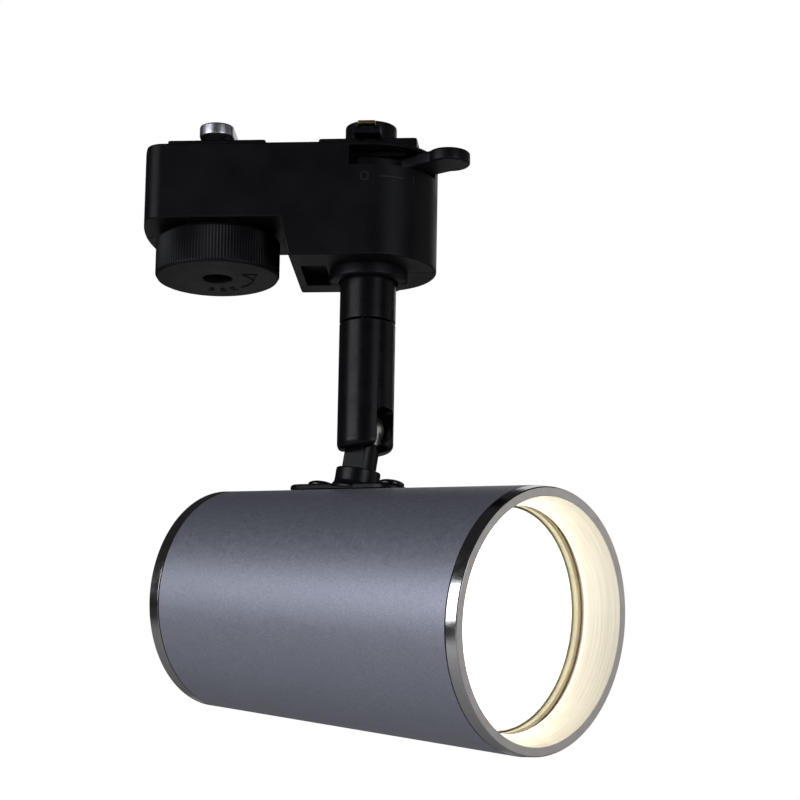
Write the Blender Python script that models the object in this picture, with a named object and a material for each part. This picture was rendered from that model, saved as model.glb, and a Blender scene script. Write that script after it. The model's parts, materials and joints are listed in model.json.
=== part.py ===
"""Track spotlight: an adapter for a two-wire lighting track, a swivel stem and a tapered lamp head.

The origin is the centre of the adapter's top face, which bears on the track. +X runs along the
track towards the stem and the contact lever, and +Z is up.

Empties carry the joints. stem_axis turns about Z, tilt_axis about its local Y, lever_axis and
lock_axis about Z, and lamp_axis about its local Z, which points forward along the lamp head.
"""

import math

import bmesh
import bpy
from mathutils import Matrix

MM = 0.001
GAP = 0.3 * MM  # between pieces that touch
BEARING_GAP = 0.35 * MM  # round the shafts that turn in the housing

# Adapter housing
LENGTH = 66.9 * MM
WIDTH = 30 * MM
SHALLOW = 18.1 * MM  # depth over the lock knob
DEEP = 27.4 * MM  # depth round the stem
WALL = 1.8 * MM
CORNER = 4 * MM
END_RADIUS = 50 * MM  # the left end bulges a little
AXLE_X = 17.7 * MM  # the stem is this far right of the origin, the lock knob as far left
STEP_TOP_X = -1.7 * MM  # the slanted step between the two depths
STEP_LOW_X = 0.5 * MM
GUIDE_HALF_LENGTH = 11.5 * MM  # the raised blocks that enter the track's slot
GUIDE_HALF_WIDTH = 8.2 * MM
GUIDE_HEIGHT = 3 * MM
COLLAR_RADIUS = 9.07 * MM
COLLAR_DROP = 2.6 * MM

# Contact lever and lock knob
POST_RADIUS = 6 * MM
ROTOR_RADIUS = 12 * MM
ROTOR_TOP = -2.9 * MM
ROTOR_LOW = -5.35 * MM
JOURNAL_RADIUS = 5 * MM
SHELF_TOP = -9.3 * MM
TAB_ANGLE = math.radians(-32.5)  # the lever's tab, switched on, points to the right and the near side
TAB_REACH = 23 * MM  # from the lever's axis to the middle of the tab's round end
TAB_RADIUS = 4.9 * MM
TAB_NECK = 4.2 * MM  # half the width of the tab's neck
TAB_RELIEF = 3.3 * MM  # half its width where it meets the end of the slot, switched off
TAB_TOP = -2.4 * MM
WING_REACH = 11.8 * MM  # how far blades and cam reach sideways into the track
KNOB_RADIUS = 14.5 * MM
KNOB_TOP = -18.9 * MM
KNOB_LOW = -28.4 * MM
KNOB_RIBS = 45
HUB_RADIUS = 6 * MM
CAM_SHAFT_RADIUS = 4 * MM

# Stem
STEM_RADIUS = 6.5 * MM
GROOVE_Z = -39.9 * MM
TUBE_END_Z = -70.4 * MM
PIVOT_Z = -65.32 * MM
NIPPLE_RADIUS = 3 * MM
NIPPLE_BORE = 1.9 * MM
SLOT_WIDTH = 5.7 * MM
SLOT_TOP_Z = -61 * MM
SLOT_CORNER = 1.5 * MM
PAN = math.radians(33.83)  # the head's rest heading, clockwise from +X seen from above
TILT = math.radians(10.79)  # the head's rest angle below the horizontal

# Lamp head, measured along its axis from the point under the tilt pivot
AXIS_DROP = 41.26 * MM  # from the pivot to the head's axis
FRONT = 60.6 * MM
REAR = -35.2 * MM
FRONT_BAND = 3.15 * MM
REAR_BAND = 3.2 * MM
FRONT_RADIUS = 30 * MM
REAR_RADIUS = 25.2 * MM
SHELL_WALL = 1.5 * MM
APERTURE_RADIUS = 27.7 * MM
LIP_RADIUS = 25.3 * MM
LIP_DEPTH = 7.64 * MM
RING_DEPTH = 9.96 * MM
PLATE_FRONT = 14.5 * MM  # how far the saddle plate reaches from the tilt knuckle's axis
PLATE_REAR = 18.2 * MM
PLATE_WIDTH = 10 * MM
PLATE_THICKNESS = 1 * MM
PLATE_SCREW_X = 10.5 * MM
LEAD_X = -2.6 * MM  # the leads pass behind the tilt pivot

# Lamp, measured back from its face
LAMP_FACE = FRONT - 11.5 * MM
LAMP_RADIUS = 25 * MM
LAMP_LENGTH = 46.5 * MM
PIN_CIRCLE = 5 * MM
HOLDER_FRONT = LAMP_FACE - LAMP_LENGTH - GAP
HOLDER_DEPTH = 20 * MM
TWIST = math.radians(20)

LEAD_RADIUS = 0.7 * MM
HEAD_ROUND = 60  # sides of the lamp head's round pieces
ROUND = 40
SMALL_ROUND = 24
TINY_ROUND = 14


# ---------------------------------------------------------------- materials
def material(name, colour, roughness, metallic=0.0):
    made = bpy.data.materials.get(name) or bpy.data.materials.new(name)
    made.use_nodes = True
    shader = made.node_tree.nodes["Principled BSDF"]
    shader.inputs["Base Color"].default_value = (*colour, 1)
    shader.inputs["Roughness"].default_value = roughness
    shader.inputs["Metallic"].default_value = metallic
    return made


def black_plastic():
    return material("black_plastic", (0.018, 0.018, 0.022), 0.5)


def black_paint():
    return material("black_paint", (0.012, 0.012, 0.014), 0.35)


def steel():
    return material("steel", (0.55, 0.55, 0.56), 0.35, 1)


def black_steel():
    return material("black_steel", (0.03, 0.03, 0.032), 0.3, 1)


def brass():
    return material("brass", (0.72, 0.5, 0.2), 0.3, 1)


def silver_paint():
    return material("silver_paint", (0.3, 0.3, 0.33), 0.45, 0.6)


def polished_aluminium():
    return material("polished_aluminium", (0.75, 0.72, 0.68), 0.15, 1)


def silicone():
    return material("silicone", (0.75, 0.72, 0.6), 0.4)


def white_plastic():
    return material("white_plastic", (0.85, 0.85, 0.83), 0.4)


def opal_diffuser():
    return material("diffuser", (1.0, 0.98, 0.92), 0.4)


def ceramic():
    return material("ceramic", (0.88, 0.87, 0.83), 0.3)


def circuit_board():
    return material("circuit_board", (0.8, 0.82, 0.8), 0.5)


def red_sleeving():
    return material("red_sleeving", (0.5, 0.06, 0.04), 0.5)


def blue_sleeving():
    return material("blue_sleeving", (0.05, 0.12, 0.45), 0.5)


# ---------------------------------------------------------------- outlines
def arc(centre_x, centre_y, radius, start, end, steps):
    """Points along an arc, in degrees, both ends included."""
    points = []
    for step in range(steps + 1):
        angle = math.radians(start + (end - start) * step / steps)
        points.append((centre_x + radius * math.cos(angle), centre_y + radius * math.sin(angle)))
    return points


def circle(centre_x, centre_y, radius, steps=TINY_ROUND):
    return arc(centre_x, centre_y, radius, 0, 360, steps)[:-1]


def box_outline(low_x, high_x, low_y, high_y):
    return [(low_x, low_y), (high_x, low_y), (high_x, high_y), (low_x, high_y)]


def stadium(length, width, steps=10):
    """A bar with round ends, along X."""
    reach = (length - width) / 2
    right = arc(reach, 0, width / 2, -90, 90, steps)
    left = arc(-reach, 0, width / 2, 90, 270, steps)
    return right + left


def arc_slot(radius, half_width, start, end, steps=6):
    """The outline of a slot that follows an arc about the origin, with round ends, in degrees."""
    outer = arc(0, 0, radius + half_width, start, end, steps)
    inner = arc(0, 0, radius - half_width, end, start, steps)
    ends = []
    for angle, turn in ((end, 0), (start, 180)):
        x, y = arc(0, 0, radius, angle, angle, 1)[0]
        ends.append(arc(x, y, half_width, angle + turn, angle + turn + 180, steps)[1:-1])
    return outer + ends[0] + inner + ends[1]


def rotated(outline, angle):
    return [
        (x * math.cos(angle) - y * math.sin(angle), x * math.sin(angle) + y * math.cos(angle))
        for x, y in outline
    ]


# ---------------------------------------------------------------- shapes
def add(name, bm, parent=None, finish=None):
    """An object from a bmesh, with its faces pointing out and round parts shaded smooth."""
    bmesh.ops.recalc_face_normals(bm, faces=bm.faces)
    mesh = bpy.data.meshes.new(name)
    bm.to_mesh(mesh)
    bm.free()
    mesh.shade_smooth()
    mesh.set_sharp_from_angle(angle=math.radians(35))
    made = bpy.data.objects.new(name, mesh)
    bpy.context.scene.collection.objects.link(made)
    made.parent = parent
    if finish:
        mesh.materials.append(finish)
    return made


def add_prism(bm, outline, low, high, along="Z"):
    """Adds an outline extruded from low to high. Its points are XY, or XZ along Y, or YZ along X."""
    place = {
        "X": lambda u, v, w: (w, u, v),
        "Y": lambda u, v, w: (u, w, v),
        "Z": lambda u, v, w: (u, v, w),
    }[along]
    face = bm.faces.new([bm.verts.new(place(u, v, low)) for u, v in outline])
    grown = bmesh.ops.extrude_face_region(bm, geom=[face])["geom"]
    moved = [item for item in grown if isinstance(item, bmesh.types.BMVert)]
    bmesh.ops.translate(bm, verts=moved, vec=place(0, 0, high - low))


def prism(outline, low, high, along="Z"):
    bm = bmesh.new()
    add_prism(bm, outline, low, high, along)
    return bm


def prisms(parts):
    """One bmesh from several prisms, each given as prism's arguments."""
    bm = bmesh.new()
    for part in parts:
        add_prism(bm, *part)
    return bm


def turned(profile, sides=ROUND):
    """A profile of (radius, height) points spun about Z: a ring, or a solid if it starts on the axis."""
    bm = bmesh.new()
    points = [bm.verts.new((radius, 0, height)) for radius, height in profile]
    following = points[1:]
    if min(radius for radius, _ in profile) > 0:
        following = points[1:] + points[:1]
    edges = [bm.edges.new(pair) for pair in zip(points, following)]
    bmesh.ops.spin(bm, geom=points + edges, axis=(0, 0, 1), angle=math.tau, steps=sides, use_merge=True)
    bmesh.ops.remove_doubles(bm, verts=bm.verts, dist=0.001 * MM)
    return bm


def rod(radius, low, high, sides=TINY_ROUND):
    return turned([(0, low), (radius, low), (radius, high), (0, high)], sides)


def rod_at(x, y, radius, low, high, along="Z", sides=TINY_ROUND):
    """A rod beside the axis; x and y are in the plane that along is normal to, as in add_prism."""
    return prism(circle(x, y, radius, sides), low, high, along)


def combine(target, tool, operation="DIFFERENCE"):
    """Cuts or joins target with tool, which is a guide and not a piece."""
    tool.hide_render = True
    tool.display_type = "WIRE"
    change = target.modifiers.new(tool.name, "BOOLEAN")
    change.operation = operation
    change.solver = "EXACT"
    change.object = tool


def shape(target, operation, bm, parent=None):
    """Cuts or joins target with a bmesh placed in the target's own frame, or in parent's."""
    tool = add(f"{target.name}.{operation.lower()}.{len(target.modifiers)}", bm, parent or target.parent)
    combine(target, tool, operation)


def cut(target, bm, parent=None):
    shape(target, "DIFFERENCE", bm, parent)


def join(target, bm, parent=None):
    shape(target, "UNION", bm, parent)


def keep_within(target, bm, parent=None):
    shape(target, "INTERSECT", bm, parent)


def empty(name, parent=None, location=(0, 0, 0), rotation=(0, 0, 0)):
    made = bpy.data.objects.new(name, None)
    bpy.context.scene.collection.objects.link(made)
    made.parent = parent
    made.location = location
    made.rotation_euler = rotation
    return made


def smooth_route(points, steps=3):
    """A Catmull-Rom curve through the points."""
    padded = [points[0], *points, points[-1]]
    route = []
    for before, start, end, after in zip(padded, padded[1:], padded[2:], padded[3:]):
        for step in range(steps):
            t = step / steps
            weights = (
                -0.5 * t + t**2 - 0.5 * t**3,
                1 - 2.5 * t**2 + 1.5 * t**3,
                0.5 * t + 2 * t**2 - 1.5 * t**3,
                -0.5 * t**2 + 0.5 * t**3,
            )
            four = (before, start, end, after)
            route.append([sum(w * p[axis] for w, p in zip(weights, four)) for axis in range(3)])
    route.append(list(points[-1]))
    return route


def lead(name, points, parent, finish):
    """An insulated wire along a smooth route."""
    curve = bpy.data.curves.new(name, "CURVE")
    curve.dimensions = "3D"
    curve.bevel_depth = LEAD_RADIUS
    curve.bevel_resolution = 2
    curve.use_fill_caps = True
    route = smooth_route(points)
    spline = curve.splines.new("POLY")
    spline.points.add(len(route) - 1)
    for point, place in zip(spline.points, route):
        point.co = (*place, 1)
    made = bpy.data.objects.new(name, curve)
    bpy.context.scene.collection.objects.link(made)
    made.parent = parent
    curve.materials.append(finish)
    return made


def cross_screw(name, parent, head_radius, head_height, shank_radius, length, finish):
    """A domed cross-head screw: the head's underside at z 0, the shank down, the head up."""
    dome = [
        (head_radius * math.cos(angle), head_height * (0.35 + 0.65 * math.sin(angle)))
        for angle in (math.pi / 2 * step / 3 for step in range(3))
    ]
    tip = 0.6 * shank_radius
    profile = [(0, -length), (shank_radius - tip, -length), (shank_radius, tip - length)]
    profile += [(shank_radius, 0), (head_radius, 0), *dome, (0, head_height)]
    screw = add(name, turned(profile, TINY_ROUND), parent, finish)
    arm, blade = 0.5 * head_radius, 0.12 * head_radius
    recess = (0.35 * head_height, 2 * head_height)
    cut(screw, prism(box_outline(-arm, arm, -blade, blade), *recess), screw)
    cut(screw, prism(box_outline(-blade, blade, -arm, arm), *recess), screw)
    return screw


# ---------------------------------------------------------------- adapter housing
def plan_outline(inset=0.0):
    """The housing from above: a bulging left end with round corners, a half circle at the right."""
    corner_x, corner_y = CORNER - LENGTH / 2, WIDTH / 2 - CORNER
    spread = math.asin(corner_y / (END_RADIUS - CORNER))
    bulge_x = corner_x + (END_RADIUS - CORNER) * math.cos(spread)
    spread = math.degrees(spread)
    outline = arc(corner_x, -corner_y, CORNER - inset, 180 + spread, 270, 3)
    outline += arc(LENGTH / 2 - WIDTH / 2, 0, WIDTH / 2 - inset, -90, 90, 18)
    outline += arc(corner_x, corner_y, CORNER - inset, 90, 180 - spread, 3)
    outline += arc(bulge_x, 0, END_RADIUS - inset, 180 - spread, 180 + spread, 6)[1:-1]
    return outline


def side_outline(inset=0.0):
    """The housing from the front: shallow at the left, a slanted step, deep at the right."""
    lean = (STEP_LOW_X - STEP_TOP_X) / (DEEP - SHALLOW)
    top_x = STEP_TOP_X + inset * (1 - lean)
    low_x = STEP_LOW_X + inset * (1 - lean)
    left, right = -LENGTH, LENGTH
    shallow, deep = inset - SHALLOW, inset - DEEP
    return [(left, -inset), (left, shallow), (top_x, shallow), (low_x, deep), (right, deep), (right, -inset)]


def guide_block(centre_x):
    outline = box_outline(
        centre_x - GUIDE_HALF_LENGTH, centre_x + GUIDE_HALF_LENGTH, -GUIDE_HALF_WIDTH, GUIDE_HALF_WIDTH
    )
    return prism(outline, -WALL / 2, GUIDE_HEIGHT)


# Screws between the halves: x, z, and how far the boss reaches either side of the seam
SHELL_SCREWS = {
    "left": (-28.2 * MM, -13 * MM, 14 * MM),
    "middle": (-5.5 * MM, -13 * MM, 14 * MM),
    "right": (26 * MM, -16.5 * MM, 10 * MM),
}
BOSS_RADIUS = 3.4 * MM
SCREW_HEAD_DEPTH = 2.4 * MM  # below the far face


def add_bosses(housing):
    for x, z, reach in SHELL_SCREWS.values():
        join(housing, rod_at(x, z, BOSS_RADIUS, -reach, reach, "Y"))


def drill_bosses(housing):
    for x, z, reach in SHELL_SCREWS.values():
        seat = reach + (WIDTH / 2 - 14 * MM) - SCREW_HEAD_DEPTH
        cut(housing, rod_at(x, z, 1.7 * MM, 1.2 * MM - reach, WIDTH, "Y"))
        cut(housing, rod_at(x, z, 3.1 * MM, seat, WIDTH, "Y"))


def lever_slot():
    """Open along the near face and round the right end, where the lever's tab swings."""
    left, inner, out, back = -TAB_RELIEF - GAP, 9 * MM, 26 * MM, -3 * MM
    outline = [(left, -inner), (left, -out), (out, -out), (out, back), (inner, back), (inner, -inner)]
    outline = [(AXLE_X + x, y) for x, y in outline]
    return prism(outline, ROTOR_LOW - GAP, -0.9 * MM)


def housing_body():
    """The whole housing before it is split, as a guide."""
    housing = add("housing", prism(side_outline(), -WIDTH, WIDTH, "Y"))
    keep_within(housing, prism(plan_outline(), -2 * DEEP, DEEP))
    hollow = add("housing.hollow", prism(side_outline(WALL), -WIDTH, WIDTH, "Y"))
    keep_within(hollow, prism(plan_outline(WALL), -2 * DEEP, DEEP))
    combine(housing, hollow)
    join(housing, guide_block(-AXLE_X))
    join(housing, guide_block(AXLE_X))

    shelf = add("housing.shelf", prism(plan_outline(WALL / 2), SHELF_TOP - 1.5 * MM, SHELF_TOP))
    cut(shelf, prism(box_outline(-LENGTH, 4 * MM, -WIDTH, WIDTH), -DEEP, 0))
    combine(housing, shelf, "UNION")
    pocket_floor = box_outline(1.2 * MM, 9.2 * MM, -8 * MM, 11 * MM)
    join(housing, prism(pocket_floor, 0.9 * MM - DEEP, 4.4 * MM - DEEP))
    add_bosses(housing)
    collar_low = -DEEP - COLLAR_DROP
    join(housing, rod_at(AXLE_X, 0, COLLAR_RADIUS, collar_low, WALL / 2 - DEEP, sides=SMALL_ROUND))

    drill_bosses(housing)
    for x, radius, low, top in (
        (AXLE_X, POST_RADIUS, -WALL - MM, GUIDE_HEIGHT + MM),
        (AXLE_X, JOURNAL_RADIUS, SHELF_TOP - 3 * MM, SHELF_TOP + MM),
        (AXLE_X, STEM_RADIUS, collar_low - MM, 4 * MM - DEEP),
        (-AXLE_X, CAM_SHAFT_RADIUS, -WALL - MM, GUIDE_HEIGHT + MM),
        (-AXLE_X, HUB_RADIUS, -SHALLOW - MM, 3 * MM - SHALLOW),
    ):
        cut(housing, rod_at(x, 0, radius + BEARING_GAP, low, top, sides=SMALL_ROUND))
    cut(housing, lever_slot())
    pocket = box_outline(2.4 * MM, 8.4 * MM, -6.2 * MM, 9.2 * MM)
    cut(housing, prism(pocket, -DEEP - MM, 2.76 * MM - DEEP))
    return housing


LAP_HALF_LENGTH = 5.2 * MM  # at the top the front half laps over the seam
LAP_REACH = 2 * MM


def adapter_halves():
    housing = housing_body()
    seam = GAP / 2
    front = add("adapter_shell_front", prism(box_outline(-LENGTH, LENGTH, -WIDTH, -seam), -2 * DEEP, DEEP))
    lap = box_outline(-LAP_HALF_LENGTH, LAP_HALF_LENGTH, -MM, LAP_REACH)
    join(front, prism(lap, -3 * MM, MM))
    rear = add("adapter_shell_rear", prism(box_outline(-LENGTH, LENGTH, seam, WIDTH), -2 * DEEP, DEEP))
    clear = box_outline(-LAP_HALF_LENGTH - GAP, LAP_HALF_LENGTH + GAP, -MM, LAP_REACH + GAP)
    cut(rear, prism(clear, -3 * MM - GAP, 2 * MM))
    for half in (front, rear):
        combine(half, housing, "INTERSECT")
        half.data.materials.append(black_plastic())


def shell_screws():
    for name, (x, z, reach) in SHELL_SCREWS.items():
        seat = reach + (WIDTH / 2 - 14 * MM) - SCREW_HEAD_DEPTH
        length = seat + GAP + reach - 1.5 * MM
        sizes = (2.7 * MM, 1.7 * MM, 1.4 * MM, length)
        screw = cross_screw(f"shell_screw_{name}", None, *sizes, black_steel())
        screw.location = (x, seat + GAP, z)
        screw.rotation_euler = (-math.pi / 2, 0, 0)


def stem_sleeve(frame):
    bore = NIPPLE_RADIUS + GAP
    flange_low, flange_top = WALL + GAP - DEEP, WALL + GAP + 1.5 * MM - DEEP
    low = GROOVE_Z + GAP / 2
    profile = [(bore, low), (STEM_RADIUS - 0.3 * MM, low), (STEM_RADIUS, low + 0.3 * MM)]
    profile += [(STEM_RADIUS, flange_low), (8.2 * MM, flange_low)]
    profile += [(8.2 * MM, flange_top), (bore, flange_top)]
    add("stem_sleeve", turned(profile, 32), frame, black_paint())


NIPPLE_TOP = -19.8 * MM
NIPPLE_FLANGE_TOP = -45.4 * MM
TUBE_CEILING = -43.5 * MM  # underside of the tube's top wall


def swivel_nipple(frame):
    low = NIPPLE_FLANGE_TOP - 1.4 * MM
    profile = [(NIPPLE_BORE, low), (4.6 * MM, low), (4.6 * MM, NIPPLE_FLANGE_TOP)]
    profile += [(NIPPLE_RADIUS, NIPPLE_FLANGE_TOP), (NIPPLE_RADIUS, NIPPLE_TOP), (NIPPLE_BORE, NIPPLE_TOP)]
    add("swivel_nipple", turned(profile, SMALL_ROUND), frame, steel())


def swivel_nut(frame):
    low = WALL + 2 * GAP + 1.5 * MM - DEEP
    nut = add("swivel_nut", prism(circle(0, 0, 5.77 * MM, 6), low, low + 3.2 * MM), frame, steel())
    cut(nut, rod(NIPPLE_RADIUS + GAP, low - MM, low + 5 * MM))


def adapter_leads(frame):
    for name, side, finish in (("live", -1, red_sleeving()), ("neutral", 1, blue_sleeving())):
        far, near = 3 * MM * side, 0.85 * MM * side
        start, end = -9.4 * MM, NIPPLE_FLANGE_TOP - 1.2 * MM
        points = [(0, far, start), (0, far, start - 2 * MM), (0, near, NIPPLE_TOP + 3 * MM)]
        points += [(0, near, NIPPLE_TOP), (0, near, end)]
        lead(f"adapter_lead_{name}", points, frame, finish)


# ---------------------------------------------------------------- contact lever
BLADE_LOW = 5.4 * MM
BLADE_TOP = 6.2 * MM
BLADE_INNER = 2.6 * MM
BLADE_HALF_WIDTH = 2 * MM


def lever_tab():
    """A neck with a round end, relieved on the side that meets the end of the slot."""
    meet = math.degrees(math.asin(TAB_NECK / TAB_RADIUS))
    end = arc(TAB_REACH, 0, TAB_RADIUS, meet - 180, 180 - meet, 16)
    outside = WIDTH / 2 + GAP
    neck = [(0, TAB_NECK), (0, -TAB_RELIEF), (outside, -TAB_RELIEF), (outside, -TAB_NECK)]
    return prism(rotated(neck + end, TAB_ANGLE), ROTOR_LOW, TAB_TOP)


def contact_lever(frame):
    journal = [(0, SHELF_TOP), (JOURNAL_RADIUS, SHELF_TOP), (JOURNAL_RADIUS, ROTOR_LOW)]
    disc = [(ROTOR_RADIUS, ROTOR_LOW), (ROTOR_RADIUS, ROTOR_TOP)]
    top = 8.2 * MM
    post = [(POST_RADIUS, ROTOR_TOP), (POST_RADIUS, top - 0.5 * MM)]
    post += [(POST_RADIUS - 0.5 * MM, top), (0, top)]
    lever = add("contact_lever", turned(journal + disc + post, 32), frame, black_plastic())
    join(lever, lever_tab())
    wing = 10.8 * MM
    wings = box_outline(-3.2 * MM, 3.2 * MM, -wing, wing)
    join(lever, prism(wings, GUIDE_HEIGHT + 0.4 * MM, BLADE_LOW - GAP))
    half = BLADE_HALF_WIDTH + GAP
    for side in (-1, 1):
        inner, outer = side * (BLADE_INNER - GAP), side * (BLADE_INNER + 0.8 * MM + GAP)
        foot = box_outline(-half, half, min(inner, outer), max(inner, outer))
        cut(lever, prism(foot, SHELF_TOP - MM, BLADE_TOP + GAP))
        reach = box_outline(-half, half, min(inner, side * 20 * MM), max(inner, side * 20 * MM))
        cut(lever, prism(reach, BLADE_LOW - GAP, BLADE_TOP + GAP))


def contact_blades(frame):
    """Each is a copper strip bent at a right angle: up inside the post, then out over its wing."""
    for name, side in (("live", -1), ("neutral", 1)):
        inner, outer = BLADE_INNER, BLADE_INNER + 0.8 * MM
        outline = [(inner, SHELF_TOP), (outer, SHELF_TOP), (outer, BLADE_LOW), (WING_REACH, BLADE_LOW)]
        outline += [(WING_REACH, BLADE_TOP), (inner, BLADE_TOP)]
        outline = [(side * y, z) for y, z in outline]
        half = BLADE_HALF_WIDTH
        add(f"contact_blade_{name}", prism(outline, -half, half, "X"), frame, brass())


# ---------------------------------------------------------------- lock knob
SOCKET_LOW = -20.2 * MM
HUB_TOP = -15.5 * MM
COUNTERBORE_RADIUS = 3.4 * MM
COUNTERBORE_TOP = -23.1 * MM
KNOB_SCREW_HOLE = 1.8 * MM


def knurled(radius, low, high, ribs, depth):
    """A rod whose side is cut into straight ribs."""
    outline = []
    for tooth in range(2 * ribs):
        angle = math.pi * tooth / ribs
        reach = radius - depth * (tooth % 2)
        outline.append((reach * math.cos(angle), reach * math.sin(angle)))
    return prism(outline, low, high)


def lock_knob(frame):
    rim = KNOB_RADIUS - 0.6 * MM
    hub = [(0, KNOB_LOW), (rim - 0.4 * MM, KNOB_LOW), (rim, KNOB_LOW + 0.5 * MM), (rim, KNOB_TOP)]
    hub += [(HUB_RADIUS, KNOB_TOP), (HUB_RADIUS, HUB_TOP), (0, HUB_TOP)]
    knob = add("lock_knob", turned(hub), frame, black_plastic())
    join(knob, knurled(KNOB_RADIUS, KNOB_LOW + 1.2 * MM, KNOB_TOP - 0.9 * MM, KNOB_RIBS, 0.45 * MM))
    cut(knob, rod(CAM_SHAFT_RADIUS + GAP, SOCKET_LOW, HUB_TOP + MM))
    cut(knob, rod(KNOB_SCREW_HOLE, COUNTERBORE_TOP - MM, SOCKET_LOW + MM))
    cut(knob, rod(COUNTERBORE_RADIUS, KNOB_LOW - MM, COUNTERBORE_TOP))


def lock_cam(frame):
    shaft = rod(CAM_SHAFT_RADIUS, SOCKET_LOW + GAP, GUIDE_HEIGHT + MM)
    cam = add("lock_cam", shaft, frame, steel())
    bar = [(y, x) for x, y in stadium(2 * WING_REACH, 8 * MM, 8)]
    join(cam, prism(bar, GUIDE_HEIGHT + 0.4 * MM, GUIDE_HEIGHT + 3.2 * MM))
    cut(cam, rod(KNOB_SCREW_HOLE, SOCKET_LOW - MM, SOCKET_LOW + 9 * MM))


def knob_screw(frame):
    length = 8 * MM
    screw = cross_screw("knob_screw", frame, 2.9 * MM, 1.9 * MM, 1.5 * MM, length, black_steel())
    screw.location = (0, 0, COUNTERBORE_TOP - GAP)
    screw.rotation_euler = (math.pi, 0, 0)


def knob_washer(frame):
    low, top = KNOB_TOP + GAP, -SHALLOW - GAP
    inner, outer = HUB_RADIUS + 0.35 * MM, 10 * MM
    washer = turned([(inner, low), (outer, low), (outer, top), (inner, top)], SMALL_ROUND)
    add("knob_washer", washer, frame, steel())


# ---------------------------------------------------------------- stem
def stem_tube(frame):
    top = GROOVE_Z - GAP / 2
    rounding = 2.3 * MM
    hole, bore, floor = NIPPLE_RADIUS + 0.15 * MM, 4.95 * MM, -57 * MM
    end = arc(STEM_RADIUS - rounding, TUBE_END_Z + rounding, rounding, 0, -90, 4)
    profile = [(hole, top), (STEM_RADIUS - 0.3 * MM, top), (STEM_RADIUS, top - 0.3 * MM), *end]
    profile += [(2.2 * MM, TUBE_END_Z), (2.2 * MM, floor), (bore, floor)]
    profile += [(bore, TUBE_CEILING), (hole, TUBE_CEILING)]
    tube = add("stem_tube", turned(profile, 32), frame, black_paint())

    half, corner = SLOT_WIDTH / 2, SLOT_CORNER
    outline = [(-half, 2 * TUBE_END_Z), (half, 2 * TUBE_END_Z)]
    outline += arc(half - corner, SLOT_TOP_Z - corner, corner, 0, 90, 4)
    outline += arc(corner - half, SLOT_TOP_Z - corner, corner, 90, 180, 4)
    cut(tube, prism(outline, -2 * STEM_RADIUS, 2 * STEM_RADIUS, "X"))
    cut(tube, rod_at(0, PIVOT_Z, 1.8 * MM, -4.9 * MM, 2 * STEM_RADIUS, "Y"))
    cut(tube, rod_at(0, PIVOT_Z, 2.7 * MM, 3.9 * MM, 2 * STEM_RADIUS, "Y"))


def swivel_washer(frame):
    low, top = NIPPLE_FLANGE_TOP + GAP, TUBE_CEILING - GAP
    profile = [(3.3 * MM, low), (4.6 * MM, low), (4.6 * MM, top), (3.3 * MM, top)]
    add("swivel_washer", turned(profile, SMALL_ROUND), frame, steel())


def tilt_screw(frame):
    screw = cross_screw("tilt_screw", frame, 2.4 * MM, 1.4 * MM, 1.5 * MM, 8.6 * MM, black_steel())
    screw.location = (0, 3.9 * MM + GAP, PIVOT_Z)
    screw.rotation_euler = (-math.pi / 2, 0, 0)


def stem_leads(frame):
    for name, side, finish in (("live", -1, red_sleeving()), ("neutral", 1, blue_sleeving())):
        near = 0.85 * MM * side
        route = [(0, -47.3 * MM), (0, -52 * MM), (-0.6 * MM, -57 * MM), (-0.6 * MM, -60.6 * MM)]
        lead(f"stem_lead_{name}", [(x, near, z) for x, z in route], frame, finish)


# ---------------------------------------------------------------- tilt joint
TONGUE_RADIUS = 3.95 * MM
TONGUE_HALF_WIDTH = 2.55 * MM
TONGUE_ROUNDING = 1 * MM  # of its round top, inside the tube's slot
BASE_RADIUS = 5.15 * MM
BASE_TOP = -9.3 * MM


def shell_radius(along):
    """The head's outer radius at a distance along its axis."""
    wide, narrow = FRONT - FRONT_BAND, REAR + REAR_BAND
    return REAR_RADIUS + (FRONT_RADIUS - REAR_RADIUS) * (along - narrow) / (wide - narrow)


TAPER = math.atan2(FRONT_RADIUS - REAR_RADIUS, FRONT - FRONT_BAND - REAR - REAR_BAND)
SADDLE_Z = shell_radius(0) - AXIS_DROP  # the head's top line, below the pivot


def tongue_disc():
    """The tongue's round top, turned about the tilt axis, with rounded edges."""
    half, edge = TONGUE_HALF_WIDTH, TONGUE_ROUNDING
    flat = TONGUE_RADIUS - edge
    profile = [(0, -half), *arc(flat, edge - half, edge, -90, 0, 3)]
    profile += [*arc(flat, half - edge, edge, 0, 90, 3), (0, half)]
    disc = turned(profile)
    bmesh.ops.rotate(disc, verts=disc.verts, matrix=Matrix.Rotation(math.pi / 2, 3, "X"))
    return disc


def plate_outline():
    """The saddle plate from above: a bar with round ends, longer behind than in front."""
    round_end = PLATE_WIDTH / 2
    front = arc(PLATE_FRONT - round_end, 0, round_end, -90, 90, 10)
    rear = arc(round_end - PLATE_REAR, 0, round_end, 90, 270, 10)
    return front + rear


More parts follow.
